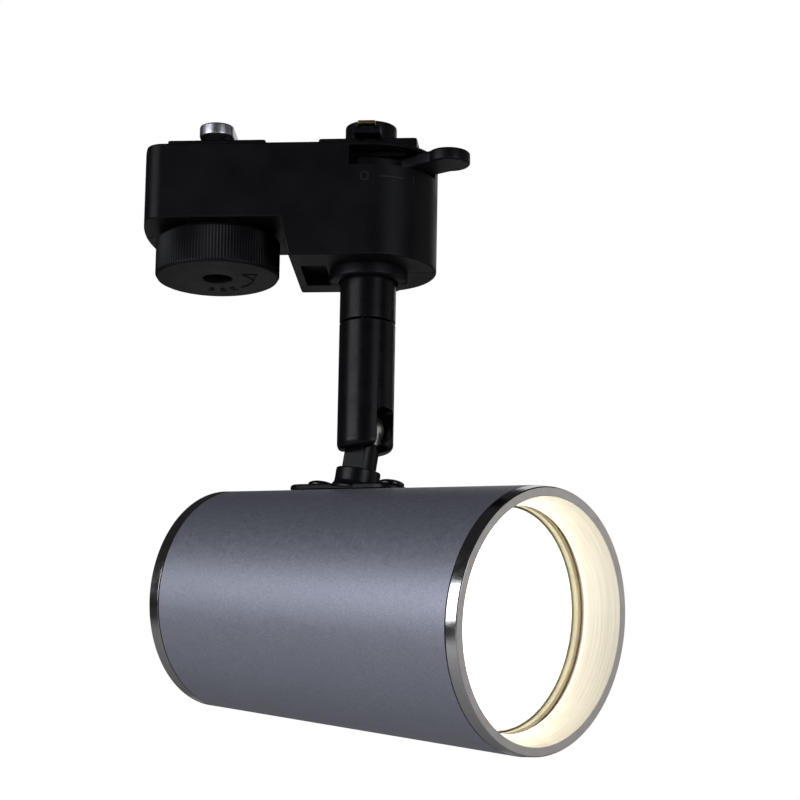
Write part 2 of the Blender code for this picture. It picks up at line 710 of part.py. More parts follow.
def tilt_knuckle(tilt, saddle, head):
    """Tongue, round base and saddle plate in one casting."""
    half = TONGUE_HALF_WIDTH
    neck = box_outline(-2 * TONGUE_RADIUS, 2 * TONGUE_RADIUS, BASE_TOP - MM, 0)
    knuckle = add("tilt_knuckle", prism(neck, -half, half, "Y"), tilt, black_paint())
    keep_within(knuckle, rod(TONGUE_RADIUS, BASE_TOP - 5 * MM, 5 * MM, SMALL_ROUND))
    join(knuckle, tongue_disc())
    plate_top = SADDLE_Z + PLATE_THICKNESS
    flare = BASE_RADIUS + 0.9 * MM
    base = [(0, plate_top - 0.8 * MM), (flare, plate_top - 0.8 * MM), (flare, plate_top - 0.4 * MM)]
    base += [(BASE_RADIUS + 0.25 * MM, plate_top + 0.35 * MM), (BASE_RADIUS, plate_top + 1.1 * MM)]
    base += [(BASE_RADIUS, BASE_TOP - 0.4 * MM), (BASE_RADIUS - 0.4 * MM, BASE_TOP), (0, BASE_TOP)]
    join(knuckle, turned(base, SMALL_ROUND))
    join(knuckle, prism(plate_outline(), -1.2 * MM, PLATE_THICKNESS), saddle)

    clear = GAP / math.cos(TAPER)
    cone = [(0, REAR), (shell_radius(REAR) + clear, REAR), (shell_radius(FRONT) + clear, FRONT), (0, FRONT)]
    cut(knuckle, turned(cone, HEAD_ROUND), head)
    cut(knuckle, rod_at(0, 0, 1.8 * MM, -2 * half, 2 * half, "Y"))
    channel = box_outline(-2 * TONGUE_RADIUS, LEAD_X + 0.65 * MM, -1.7 * MM, 1.7 * MM)
    cut(knuckle, prism(channel, BASE_TOP - 0.6 * MM, 2 * TONGUE_RADIUS))
    cut(knuckle, rod_at(LEAD_X, 0, 1.9 * MM, 2 * SADDLE_Z, BASE_TOP + MM))
    for side in (-1, 1):
        cut(knuckle, rod_at(side * PLATE_SCREW_X, 0, 1.9 * MM, -4 * MM, 4 * MM), saddle)


def plate_screws(saddle):
    for name, side in (("rear", -1), ("front", 1)):
        sizes = (3.05 * MM, 1.3 * MM, 1.55 * MM, 6.5 * MM)
        screw = cross_screw(f"plate_screw_{name}", saddle, *sizes, black_steel())
        screw.location = (side * PLATE_SCREW_X, 0, PLATE_THICKNESS + GAP)
        screw.rotation_euler = (0, 0, math.radians(30 + 40 * side))


# ---------------------------------------------------------------- lamp head
def head_shell(head, saddle, tilt):
    front, rear = FRONT - FRONT_BAND - GAP / 2, REAR + REAR_BAND + GAP / 2
    profile = [(shell_radius(rear), rear), (shell_radius(front), front)]
    profile += [(shell_radius(front) - SHELL_WALL, front), (shell_radius(rear) - SHELL_WALL, rear)]
    shell = add("head_shell", turned(profile, HEAD_ROUND), head, silver_paint())
    for side in (-1, 1):
        cut(shell, rod_at(side * PLATE_SCREW_X, 0, 1.9 * MM, -4 * MM, 4 * MM), saddle)
    cut(shell, rod_at(LEAD_X, 0, 2.5 * MM, SADDLE_Z - 4 * MM, SADDLE_Z + 4 * MM), tilt)


def front_bezel(head):
    band_rear = FRONT - FRONT_BAND + GAP / 2
    spigot_rear = LAMP_FACE - 0.5 * MM
    spigot_wide = shell_radius(band_rear) - SHELL_WALL - GAP
    spigot_narrow = shell_radius(spigot_rear) - SHELL_WALL - GAP
    face_edge = FRONT_RADIUS - 0.4 * MM
    lip = FRONT - LIP_DEPTH
    inner = 26.5 * MM
    profile = [(APERTURE_RADIUS, FRONT), (face_edge, FRONT)]
    profile += [(FRONT_RADIUS - 0.16 * MM, FRONT - 0.25 * MM), (FRONT_RADIUS, band_rear)]
    profile += [(spigot_wide, band_rear), (spigot_narrow, spigot_rear), (inner, spigot_rear)]
    profile += [(inner, lip - 0.6 * MM), (LIP_RADIUS, lip - 0.6 * MM), (LIP_RADIUS, lip)]
    add("front_bezel", turned(profile, HEAD_ROUND), head, polished_aluminium())


def centring_ring(head):
    front, rear = FRONT - RING_DEPTH, LAMP_FACE - 0.4 * MM
    inner, outer = LAMP_RADIUS + 0.25 * MM, 26.2 * MM
    profile = [(inner, rear), (outer, rear), (outer, front)]
    profile += [(inner + 0.3 * MM, front), (inner, front - 0.3 * MM)]
    add("centring_ring", turned(profile), head, silicone())


VENTS = 8
VENT_RADIUS = 13.5 * MM  # to the middle of each vent
VENT_LENGTH = 11 * MM
VENT_WIDTH = 2.2 * MM


def rear_cap(head):
    band_front = REAR + REAR_BAND - GAP / 2
    spigot_front, spigot_outer, spigot_inner = REAR + 9 * MM, 23.3 * MM, 22 * MM
    profile = [(0, REAR), (24.7 * MM, REAR), (25.06 * MM, REAR + 0.3 * MM), (REAR_RADIUS, band_front)]
    profile += [(spigot_outer, band_front), (spigot_outer, spigot_front), (spigot_inner, spigot_front)]
    profile += [(spigot_inner, REAR + 1.6 * MM), (0, REAR + 1.6 * MM)]
    cap = add("rear_cap", turned(profile, HEAD_ROUND), head, polished_aluminium())
    vents = bmesh.new()
    for vent in range(VENTS):
        turn = Matrix.Rotation(math.tau * (vent + 0.5) / VENTS, 4, "Z")
        outline = [(VENT_RADIUS + x, y) for x, y in stadium(VENT_LENGTH, VENT_WIDTH, 3)]
        one = prism(outline, REAR - MM, REAR + 3 * MM)
        bmesh.ops.transform(one, matrix=turn, verts=one.verts)
        spare = bpy.data.meshes.new("vent")
        one.to_mesh(spare)
        one.free()
        vents.from_mesh(spare)
        bpy.data.meshes.remove(spare)
    cut(cap, vents)


FLANGE_TOP = -SHELL_WALL - 0.9 * MM  # under the shell, below the head's top line
BRACKET_SHEET = 1.5 * MM
LEG_FRONT = HOLDER_FRONT - HOLDER_DEPTH - GAP
LEAD_SPREAD = 5 * MM
HOLDER_SCREW_Y = 10 * MM


def holder_bracket(tilt, saddle):
    """A bent strip: a flange under the shell's top, and a leg that carries the lamp holder."""
    rear = LEG_FRONT - BRACKET_SHEET
    flange = box_outline(rear - 0.2 * MM, 15.5 * MM, -5 * MM, 5 * MM)
    bracket = add("holder_bracket", prism(flange, FLANGE_TOP - BRACKET_SHEET, FLANGE_TOP), saddle, steel())
    sides = [(12 * MM, -9 * MM), (12 * MM, 9 * MM), (5 * MM, 14 * MM), (5 * MM, 22.4 * MM)]
    leg = [(y, z - AXIS_DROP) for y, z in sides] + [(-y, z - AXIS_DROP) for y, z in reversed(sides)]
    join(bracket, prism(leg, rear, LEG_FRONT, "X"), tilt)
    through = (rear - MM, LEG_FRONT + MM, "X")
    for side in (-1, 1):
        cut(bracket, rod_at(side * LEAD_SPREAD, -AXIS_DROP, 1.6 * MM, *through), tilt)
        cut(bracket, rod_at(side * HOLDER_SCREW_Y, -AXIS_DROP, 1.6 * MM, *through), tilt)
        cut(bracket, rod_at(side * PLATE_SCREW_X, 0, 1.85 * MM, -9 * MM, 0), saddle)
    cut(bracket, rod_at(0, 14.5 * MM - AXIS_DROP, 2.8 * MM, *through), tilt)
    cut(bracket, rod_at(LEAD_X, 0, 2.5 * MM, SADDLE_Z - 8 * MM, SADDLE_Z), tilt)


SLOT_NECK = HOLDER_FRONT - 3.4 * MM  # depth of the bayonet slot's narrow part
CHAMBER_REAR = HOLDER_FRONT - 8.9 * MM


def lamp_holder(head):
    """Ceramic socket. Its curved slots let the lamp's pins in wide and hold them narrow."""
    rear = HOLDER_FRONT - HOLDER_DEPTH
    block = box_outline(-8.5 * MM, 8.5 * MM, -13.5 * MM, 13.5 * MM)
    holder = add("lamp_holder", prism(block, rear, HOLDER_FRONT), head, ceramic())
    twist = math.degrees(TWIST)
    for pin_angle in (90, 270):
        start, end = pin_angle, pin_angle + twist
        cut(holder, prism(arc_slot(PIN_CIRCLE, 1.6 * MM, start, end), SLOT_NECK - MM, HOLDER_FRONT + MM))
        cut(holder, prism(arc_slot(PIN_CIRCLE, 2.9 * MM, start, end), CHAMBER_REAR, SLOT_NECK))
        x, y = arc(0, 0, PIN_CIRCLE, end, end, 1)[0]
        cut(holder, rod_at(x, y, 2.9 * MM, SLOT_NECK - MM, HOLDER_FRONT + MM))
    for side in (-1, 1):
        cut(holder, rod_at(0, side * LEAD_SPREAD, 1.05 * MM, rear - MM, CHAMBER_REAR + MM))
        cut(holder, rod_at(0, side * HOLDER_SCREW_Y, 1.6 * MM, rear - MM, rear + 8 * MM))


def holder_contacts(head):
    for name, side in (("live", -1), ("neutral", 1)):
        outline = circle(0, side * PIN_CIRCLE, 2.3 * MM, 16)
        contact = prism(outline, CHAMBER_REAR + GAP, CHAMBER_REAR + 1.1 * MM)
        add(f"holder_contact_{name}", contact, head, brass())


def holder_screws(head):
    for name, side in (("left", -1), ("right", 1)):
        screw = cross_screw(f"holder_screw_{name}", head, 2.5 * MM, 1.7 * MM, 1.3 * MM, 9 * MM, steel())
        screw.location = (0, side * HOLDER_SCREW_Y, LEG_FRONT - BRACKET_SHEET - GAP)
        screw.rotation_euler = (math.pi, 0, 0)


def head_leads(tilt):
    """From the holder's back, through the bracket's window, up through the shell and the knuckle."""
    back = LEG_FRONT - BRACKET_SHEET - 3.5 * MM
    window = 14.5 * MM - AXIS_DROP
    for name, side, finish in (("live", -1, red_sleeving()), ("neutral", 1, blue_sleeving())):
        far, near = LEAD_SPREAD * side, 0.85 * MM * side
        start = CHAMBER_REAR - 0.6 * MM
        points = [(start, far, -AXIS_DROP), (LEG_FRONT, far, -AXIS_DROP), (back, far, 3 * MM - AXIS_DROP)]
        points += [(back, near * 2, window - 2.5 * MM), (LEG_FRONT, near, window)]
        points += [(-9 * MM, near, window + 0.5 * MM), (LEAD_X, near, SADDLE_Z - 5 * MM)]
        points += [(LEAD_X, near, SADDLE_Z), (LEAD_X, near, BASE_TOP), (LEAD_X - 0.15 * MM, near, -1.5 * MM)]
        lead(f"head_lead_{name}", points, tilt, finish)


# ---------------------------------------------------------------- lamp
def back_from_face(points):
    """Turns (radius, distance behind the lamp's face) into (radius, height) in the head's frame."""
    return [(radius * MM, LAMP_FACE - depth * MM) for radius, depth in points]


def lamp_shell(lamp):
    outside = [(25, 0), (25, 3), (23.8, 8), (20.5, 20), (14, 35), (11.4, 38.5)]
    inside = [(10.2, 38.5), (12.8, 34.4), (19.3, 19.6), (22.5, 8), (23.6, 3), (23.6, 1.6)]
    inside += [(24.7, 1.6), (24.7, 0)]
    add("lamp_shell", turned(back_from_face(outside + inside)), lamp, white_plastic())


def lamp_diffuser(lamp):
    profile = [(0, 1.3), (24.4, 1.3), (24.4, 0.2), (24.1, 0), (0, 0)]
    add("lamp_diffuser", turned(back_from_face(profile)), lamp, opal_diffuser())


def lamp_led_board(lamp):
    disc = turned(back_from_face([(0, 11.6), (20.8, 11.6), (20.8, 10), (0, 10)]), SMALL_ROUND)
    board = add("lamp_led_board", disc, lamp, circuit_board())
    face = LAMP_FACE - 10 * MM
    half = 1.5 * MM
    chips = []
    for x, y in circle(0, 0, 14.5 * MM, 9) + circle(0, 0, 6 * MM, 4):
        outline = box_outline(x - half, x + half, y - half, y + half)
        chips.append((outline, face - 0.3 * MM, face + 0.7 * MM))
    join(board, prisms(chips))


def lamp_driver_board(lamp):
    low, top = LAMP_FACE - 34 * MM, LAMP_FACE - 12.2 * MM
    sheet = prism(box_outline(-7 * MM, 7 * MM, low, top), -0.6 * MM, 0.6 * MM, "Y")
    board = add("lamp_driver_board", sheet, lamp, circuit_board())
    join(board, rod_at(0, LAMP_FACE - 20 * MM, 4 * MM, 0, 6 * MM, "Y", 16))


def lamp_base(lamp):
    end = LAMP_LENGTH / MM
    profile = [(0, end), (10.4, end), (10.9, end - 0.5), (10.9, 38.9), (9.7, 38.9), (9.7, 35), (0, 35)]
    base = add("lamp_base", turned(back_from_face(profile), SMALL_ROUND), lamp, white_plastic())
    back = LAMP_FACE - LAMP_LENGTH
    for side in (-1, 1):
        cut(base, rod_at(0, side * PIN_CIRCLE, 1.25 * MM + GAP, back - MM, back + 4 * MM))


def lamp_pins(lamp):
    for name, side in (("live", -1), ("neutral", 1)):
        back = LAMP_FACE - LAMP_LENGTH
        neck, head_rear = back - 4 * MM, back - 7 * MM
        profile = [(0, head_rear), (2 * MM, head_rear), (2.5 * MM, head_rear + 0.5 * MM), (2.5 * MM, neck)]
        profile += [(1.25 * MM, neck), (1.25 * MM, back + 3.7 * MM), (0, back + 3.7 * MM)]
        pin = add(f"lamp_pin_{name}", turned(profile, 16), lamp, brass())
        pin.location = (0, side * PIN_CIRCLE, 0)


# ---------------------------------------------------------------- assembly
def clear_scene():
    for item in list(bpy.data.objects):
        bpy.data.objects.remove(item, do_unlink=True)


def build_adapter():
    adapter_halves()
    shell_screws()
    sleeve_axis = empty("sleeve_axis", location=(AXLE_X, 0, 0))
    for make in (stem_sleeve, swivel_nipple, swivel_nut, adapter_leads):
        make(sleeve_axis)
    lever_axis = empty("lever_axis", location=(AXLE_X, 0, 0))
    contact_lever(lever_axis)
    contact_blades(lever_axis)
    lock_axis = empty("lock_axis", location=(-AXLE_X, 0, 0))
    for make in (lock_knob, lock_cam, knob_screw, knob_washer):
        make(lock_axis)


def build_stem():
    stem_axis = empty("stem_axis", location=(AXLE_X, 0, 0), rotation=(0, 0, -PAN))
    for make in (stem_tube, swivel_washer, tilt_screw, stem_leads):
        make(stem_axis)
    return stem_axis


def build_head(stem_axis):
    tilt = empty("tilt_axis", stem_axis, (0, 0, PIVOT_Z), (0, TILT, 0))
    saddle = empty("saddle", tilt, (0, 0, SADDLE_Z), (0, -TAPER, 0))
    head = empty("head_axis", tilt, (0, 0, -AXIS_DROP), (0, math.pi / 2, 0))
    lamp = empty("lamp_axis", head)
    tilt_knuckle(tilt, saddle, head)
    plate_screws(saddle)
    head_shell(head, saddle, tilt)
    for make in (front_bezel, centring_ring, rear_cap, lamp_holder, holder_contacts, holder_screws):
        make(head)
    holder_bracket(tilt, saddle)
    head_leads(tilt)
    for make in (lamp_shell, lamp_diffuser, lamp_led_board, lamp_driver_board, lamp_base, lamp_pins):
        make(lamp)


clear_scene()
build_adapter()
build_head(build_stem())
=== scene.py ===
# Looks of the track spotlight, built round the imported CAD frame.
#
# Each visible piece is modelled in its own joint's frame, finer than the CAD solid that it stands for,
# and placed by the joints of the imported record. CAD nodes that are mostly hidden stay as they are and
# only take a finer material.

import json
import math

import bmesh
import bpy
from mathutils import Matrix, Vector


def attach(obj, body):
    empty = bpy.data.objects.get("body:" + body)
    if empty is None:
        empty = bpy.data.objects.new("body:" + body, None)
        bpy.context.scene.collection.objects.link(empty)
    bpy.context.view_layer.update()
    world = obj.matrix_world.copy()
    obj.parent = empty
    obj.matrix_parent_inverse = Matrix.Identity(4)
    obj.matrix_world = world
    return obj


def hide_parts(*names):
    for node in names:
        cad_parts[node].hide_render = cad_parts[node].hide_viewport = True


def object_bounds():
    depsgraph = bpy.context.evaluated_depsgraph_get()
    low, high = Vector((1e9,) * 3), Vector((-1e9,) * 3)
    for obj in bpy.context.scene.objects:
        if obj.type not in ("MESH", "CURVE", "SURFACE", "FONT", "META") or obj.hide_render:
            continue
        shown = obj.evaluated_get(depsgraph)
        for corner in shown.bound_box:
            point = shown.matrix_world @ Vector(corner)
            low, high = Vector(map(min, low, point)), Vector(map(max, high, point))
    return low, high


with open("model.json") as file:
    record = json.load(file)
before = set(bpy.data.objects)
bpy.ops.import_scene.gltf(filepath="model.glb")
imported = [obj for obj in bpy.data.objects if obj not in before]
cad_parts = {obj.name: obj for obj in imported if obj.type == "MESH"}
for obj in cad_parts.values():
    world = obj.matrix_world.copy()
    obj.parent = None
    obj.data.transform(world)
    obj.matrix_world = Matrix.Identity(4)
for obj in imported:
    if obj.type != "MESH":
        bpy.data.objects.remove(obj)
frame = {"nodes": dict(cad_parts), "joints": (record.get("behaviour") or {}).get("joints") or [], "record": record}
cad_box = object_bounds()

MM = 0.001
GAP = 0.3 * MM  # between pieces that touch
THREE_MM_HOLE = 1.8 * MM  # radius of a hole that clears a 3 mm screw
BEARING_GAP = 0.35 * MM  # round the shafts that turn in the housing

# Adapter housing
LENGTH = 66.9 * MM
WIDTH = 30 * MM
SHALLOW = 18.1 * MM
DEEP = 27.4 * MM
WALL = 1.8 * MM
CORNER = 4 * MM
END_RADIUS = 50 * MM  # the left end bulges a little
STEP_TOP_X = -1.7 * MM
STEP_LOW_X = 0.5 * MM
GUIDE_HALF_LENGTH = 11.5 * MM
GUIDE_HALF_WIDTH = 8.2 * MM
GUIDE_HEIGHT = 3 * MM
COLLAR_RADIUS = 9.07 * MM
COLLAR_DROP = 2.6 * MM
HOUSING_EDGE = 0.45 * MM

# Contact lever and lock knob
POST_RADIUS = 6 * MM
ROTOR_RADIUS = 12 * MM
ROTOR_TOP = -2.9 * MM
ROTOR_LOW = -5.35 * MM
JOURNAL_RADIUS = 5 * MM
SHELF_TOP = -9.3 * MM
TAB_ANGLE = math.radians(-32.5)  # the lever's tab, switched on, points to the right and the near side
TAB_REACH = 23 * MM
TAB_RADIUS = 4.9 * MM
TAB_NECK = 4.2 * MM
TAB_RELIEF = 3.3 * MM  # half its width where it meets the end of the slot, switched off
TAB_SHOULDER = 1.4 * MM  # the slant from the relieved width to the full one
TAB_TOP = -2.4 * MM
WING_REACH = 11.8 * MM
KNOB_RADIUS = 14.5 * MM
KNOB_TOP = -18.9 * MM
KNOB_LOW = -28.4 * MM
KNOB_RIBS = 122
RIB_DEPTH = 0.22 * MM
HUB_RADIUS = 6 * MM
CAM_SHAFT_RADIUS = 4 * MM
ABOVE_GUIDES = GUIDE_HEIGHT + 0.4 * MM  # where the lever's wings and the lock's bar begin

# Stem
STEM_RADIUS = 6.5 * MM
GROOVE_Z = -39.9 * MM
TUBE_END_Z = -70.4 * MM
NIPPLE_RADIUS = 3 * MM
SLOT_WIDTH = 5.7 * MM
SLOT_TOP_Z = -61 * MM
SLOT_CORNER = 1.5 * MM
TILT_SCREW_SEAT = 3.9 * MM  # from the stem's axis
TILT_SCREW_SINK = 2.7 * MM  # radius of the recess that takes the head

# Lamp head, measured along its axis from the point under the tilt pivot
FRONT = 60.6 * MM
REAR = -35.2 * MM
FRONT_BAND = 3.15 * MM
REAR_BAND = 3.2 * MM
FRONT_RADIUS = 30 * MM
REAR_RADIUS = 25.2 * MM
SHELL_WALL = 1.5 * MM
APERTURE_RADIUS = 27.7 * MM
LIP_RADIUS = 25.3 * MM
LIP_DEPTH = 7.64 * MM
RING_DEPTH = 9.96 * MM
LAMP_FACE = FRONT - 11.5 * MM
LAMP_RADIUS = 25 * MM
PLATE_FRONT = 14.5 * MM  # how far the saddle plate reaches from the tilt knuckle's axis
PLATE_REAR = 18.2 * MM
PLATE_WIDTH = 10 * MM
PLATE_THICKNESS = 1 * MM
PLATE_SCREW_X = 10.5 * MM
PLATE_SCREW_HOLE = 1.9 * MM
TONGUE_RADIUS = 3.95 * MM
TONGUE_HALF_WIDTH = 2.55 * MM
TONGUE_ROUNDING = 1 * MM  # of its round top, inside the tube's slot
BASE_RADIUS = 5.15 * MM
BASE_TOP = -9.3 * MM
LEAD_X = -2.6 * MM

HEAD_SIDES = 240
STEM_SIDES = 96


# ---------------------------------------------------------------- frames
JOINTS = {joint["name"]: joint for joint in frame["joints"]}


def joint_place(name):
    return Vector(JOINTS[name]["pos_m"])


def axes(origin, x, y, z):
    """A matrix with these axes at this origin."""
    turned_to = Matrix((x, y, z)).transposed().to_4x4()
    return Matrix.Translation(origin) @ turned_to


PIVOT = joint_place("tilt")
SIDE = Vector(JOINTS["tilt"]["axis"]).normalized()
FORWARD = Vector(JOINTS["lamp_twist"]["axis"]).normalized()
UPWARD = FORWARD.cross(SIDE)
HEADING = SIDE.cross(Vector((0, 0, 1)))
AXLE = Vector((PIVOT.x, PIVOT.y, 0))
AXIS_DROP = (PIVOT - joint_place("lamp_twist")).length

LEVER = Matrix.Translation(AXLE)
LOCK = Matrix.Translation(joint_place("lock_knob_turn"))
STEM = axes(AXLE, HEADING, SIDE, Vector((0, 0, 1)))
TILT = axes(PIVOT, FORWARD, SIDE, UPWARD)
HEAD = axes(joint_place("lamp_twist"), -UPWARD, SIDE, FORWARD)
PIVOT_Z = PIVOT.z


def shell_radius(along):
    """The head's outer radius at a distance along its axis."""
    wide, narrow = FRONT - FRONT_BAND, REAR + REAR_BAND
    return REAR_RADIUS + (FRONT_RADIUS - REAR_RADIUS) * (along - narrow) / (wide - narrow)


TAPER = math.atan2(FRONT_RADIUS - REAR_RADIUS, FRONT - FRONT_BAND - REAR - REAR_BAND)
SADDLE_Z = shell_radius(0) - AXIS_DROP
SADDLE = TILT @ Matrix.Translation((0, 0, SADDLE_Z)) @ Matrix.Rotation(-TAPER, 4, "Y")


# ---------------------------------------------------------------- materials
def lighter(colour, factor):
    return tuple(channel * factor for channel in colour)


class Finish:
    """A Principled material whose colour, roughness and bump come from noise in object space."""

    def __init__(self, name, colour, roughness, metallic=0.0):
        self.material = bpy.data.materials.new(name)
        self.material.use_nodes = True
        self.tree = self.material.node_tree
        self.shader = self.tree.nodes["Principled BSDF"]
        self.shader.inputs["Metallic"].default_value = metallic
        self.shader.inputs["Base Color"].default_value = (*colour, 1)
        self.shader.inputs["Roughness"].default_value = roughness
        self.place = self.add("ShaderNodeTexCoord").outputs["Object"]
        self.bump_from = None

    def add(self, kind, **settings):
        node = self.tree.nodes.new(kind)
        for name, value in settings.items():
            setattr(node, name, value)
        return node

    def link(self, output, socket):
        self.tree.links.new(output, socket)

    def stretched(self, scale):
        """Object coordinates scaled by different amounts along X, Y and Z."""
        mapping = self.add("ShaderNodeMapping")
        mapping.inputs["Scale"].default_value = scale
        self.link(self.place, mapping.inputs["Vector"])
        return mapping.outputs["Vector"]

    def noise(self, scale, detail=3.0, place=None):
        node = self.add("ShaderNodeTexNoise")
        node.inputs["Scale"].default_value = scale
        node.inputs["Detail"].default_value = detail
        self.link(place or self.place, node.inputs["Vector"])
        return node.outputs["Fac"]

    def cells(self, scale):
        """A random grey for each cell of a Voronoi pattern."""
        node = self.add("ShaderNodeTexVoronoi")
        node.inputs["Scale"].default_value = scale
        self.link(self.place, node.inputs["Vector"])
        grey = self.add("ShaderNodeRGBToBW")
        self.link(node.outputs["Color"], grey.inputs["Color"])
        return grey.outputs["Val"]

    def rings(self, spacing):
        """Fine turned rings: noise that hardly changes except along the piece's axis."""
        return self.noise(1, 2, self.stretched((0.02 / spacing, 0.02 / spacing, 1 / spacing)))

    def radial_rings(self, spacing):
        """Fine turned rings on a flat face: noise that only changes with the distance from Z."""
        split = self.add("ShaderNodeSeparateXYZ")
        self.link(self.place, split.inputs["Vector"])
        flat = self.add("ShaderNodeCombineXYZ")
        self.link(split.outputs["X"], flat.inputs["X"])
        self.link(split.outputs["Y"], flat.inputs["Y"])
        length = self.add("ShaderNodeVectorMath", operation="LENGTH")
        self.link(flat.outputs["Vector"], length.inputs[0])
        node = self.add("ShaderNodeTexNoise", noise_dimensions="1D")
        node.inputs["Scale"].default_value = 1 / spacing
        self.link(length.outputs["Value"], node.inputs["W"])
        return node.outputs["Fac"]

    def between(self, value, low, high, from_low=0.3, from_high=0.7):
        """value, rescaled from its usual range to low..high."""
        node = self.add("ShaderNodeMapRange")
        node.inputs["From Min"].default_value = from_low
        node.inputs["From Max"].default_value = from_high
        node.inputs["To Min"].default_value = low
        node.inputs["To Max"].default_value = high
        self.link(value, node.inputs["Value"])
        return node.outputs["Result"]

    def mixed(self, share, first, second):
        """One colour, or another colour's output, towards a second as share goes from 0 to 1."""
        node = self.add("ShaderNodeMix", data_type="RGBA")
        self.link(share, node.inputs["Factor"])
        for socket, colour in ((node.inputs["A"], first), (node.inputs["B"], second)):
            self.give(socket, colour)
        return node.outputs["Result"]

    def patches(self, scale, detail=3.0):
        """Soft patches that run from 0 to 1."""
        return self.between(self.noise(scale, detail), 0, 1)

    def toned(self, share, colour, dark, light):
        """A colour, from a darker tone of it to a lighter one as share goes from 0 to 1."""
        return self.mixed(share, lighter(colour, dark), lighter(colour, light))

    def give(self, socket, value):
        if isinstance(value, bpy.types.NodeSocket):
            self.link(value, socket)
        else:
            socket.default_value = (*value, 1) if len(value) == 3 else value

    def colour(self, value):
        self.link(value, self.shader.inputs["Base Color"])

    def uneven(self, value, low, high):
        """Roughness between two limits."""
        self.link(self.between(value, low, high), self.shader.inputs["Roughness"])

    def bump(self, value, height, strength=1.0):
        """Adds a bump of that height in metres on top of the bumps given before."""
        node = self.add("ShaderNodeBump")
        node.inputs["Strength"].default_value = strength
        node.inputs["Distance"].default_value = height
        self.link(value, node.inputs["Height"])
        if self.bump_from:
            self.link(self.bump_from, node.inputs["Normal"])
        self.bump_from = node.outputs["Normal"]
        self.link(self.bump_from, self.shader.inputs["Normal"])

    def grain(self, scale, height, strength, detail=2):
        self.bump(self.noise(scale, detail), height, strength)

    def set(self, **values):
        """Constant values on the shader's own sockets; a name's underscores stand for spaces."""
        for name, value in values.items():
            self.shader.inputs[name.replace("_", " ")].default_value = value
        return self


BLACK = (0.003, 0.003, 0.0038)
PAINT = (0.0035, 0.0035, 0.0045)
PAINT_ROUGHNESS = 0.3
PLASTIC_GLOSS = 0.15  # specular levels
PAINT_GLOSS = 0.15
DIFFUSER_GLOW = 1.8


def edge_wear_and_glint(finish, colour, tone, amount=0.5):
    """colour, mixed towards a lighter tone on convex edges: partly wear, where handling polishes the surface, and
    partly a painted highlight where the edges catch the light.
    """
    pointiness = finish.add("ShaderNodeNewGeometry").outputs["Pointiness"]
    edge = finish.between(pointiness, 0, amount, 0.52, 0.6)
    patch = finish.between(finish.noise(260), 0.2, 1)
    share = finish.add("ShaderNodeMath", operation="MULTIPLY", use_clamp=True)
    finish.link(edge, share.inputs[0])
    finish.link(patch, share.inputs[1])
    return finish.mixed(share.outputs["Value"], colour, tone)


def moulded_plastic(name, colour, roughness=0.42):
    """Moulded plastic with a fine spark-eroded grain, faint flow patches, and lighter edges: partly wear, partly a
    painted highlight.
    """
    finish = Finish(name, colour, roughness).set(Specular_IOR_Level=PLASTIC_GLOSS)
    patches = finish.toned(finish.patches(70), colour, 0.8, 1.25)
    finish.colour(edge_wear_and_glint(finish, patches, lighter(colour, 2.2)))
    finish.uneven(finish.noise(120, 4), roughness - 0.06, roughness + 0.08)
    finish.grain(2600, 0.012 * MM, 0.6)
    finish.bump(finish.cells(3800), 0.006 * MM, 0.5)
    return finish.material


def powder_coat():
    """Satin paint with a faint orange peel, and lighter edges: partly rubbed wear, partly a painted highlight."""
    finish = Finish("satin_black_paint", PAINT, PAINT_ROUGHNESS).set(Specular_IOR_Level=PAINT_GLOSS)
    patches = finish.toned(finish.patches(90), PAINT, 0.85, 1.2)
    finish.colour(edge_wear_and_glint(finish, patches, lighter(PAINT, 3)))
    finish.uneven(finish.noise(300, 4), PAINT_ROUGHNESS - 0.05, PAINT_ROUGHNESS + 0.07)
    finish.grain(900, 0.01 * MM, 0.5)
    finish.grain(4000, 0.004 * MM, 0.5, detail=1)
    return finish.material


def knuckle_paint():
    """The stem's paint, rubbed down to bare metal where the tongue turns in its slot."""
    finish = Finish("knuckle_paint", PAINT, PAINT_ROUGHNESS).set(Specular_IOR_Level=PAINT_GLOSS)
    split = finish.add("ShaderNodeSeparateXYZ")
    finish.link(finish.place, split.inputs["Vector"])
    height = finish.add("ShaderNodeMath", operation="ADD")
    finish.link(split.outputs["Z"], height.inputs[0])
    finish.link(finish.between(finish.noise(900, 4), -0.4 * MM, 0.4 * MM), height.inputs[1])
    bare = finish.between(height.outputs["Value"], 0, 1, -3.1 * MM, -2.7 * MM)
    metal = finish.mixed(finish.patches(600), (0.5, 0.49, 0.46), (0.78, 0.77, 0.74))
    # Convex edges of the paint are lighter: partly wear, partly a painted highlight.
    painted = edge_wear_and_glint(finish, PAINT, lighter(PAINT, 3))
    finish.colour(finish.mixed(bare, painted, metal))
    finish.link(bare, finish.shader.inputs["Metallic"])
    finish.uneven(finish.noise(300, 4), 0.28, 0.4)
    finish.grain(900, 0.01 * MM, 0.5)
    return finish.material


def silver_paint():
    """Metallic paint: fine flakes that differ a little in tone and in slope."""
    colour = (0.31, 0.315, 0.365)
    finish = Finish("silver_paint", colour, 0.54, 0.7)
    flakes = finish.cells(5200)
    tone = finish.toned(finish.between(flakes, 0, 1, 0.2, 0.8), colour, 0.86, 1.16)
    soft = finish.mixed(finish.between(finish.noise(45), 0, 0.25), tone, lighter(colour, 0.94))
    finish.colour(soft)
    finish.uneven(finish.noise(700), 0.43, 0.52)
    finish.bump(flakes, 0.006 * MM, 0.45)
    finish.grain(1500, 0.006 * MM, 0.35)
    return finish.material


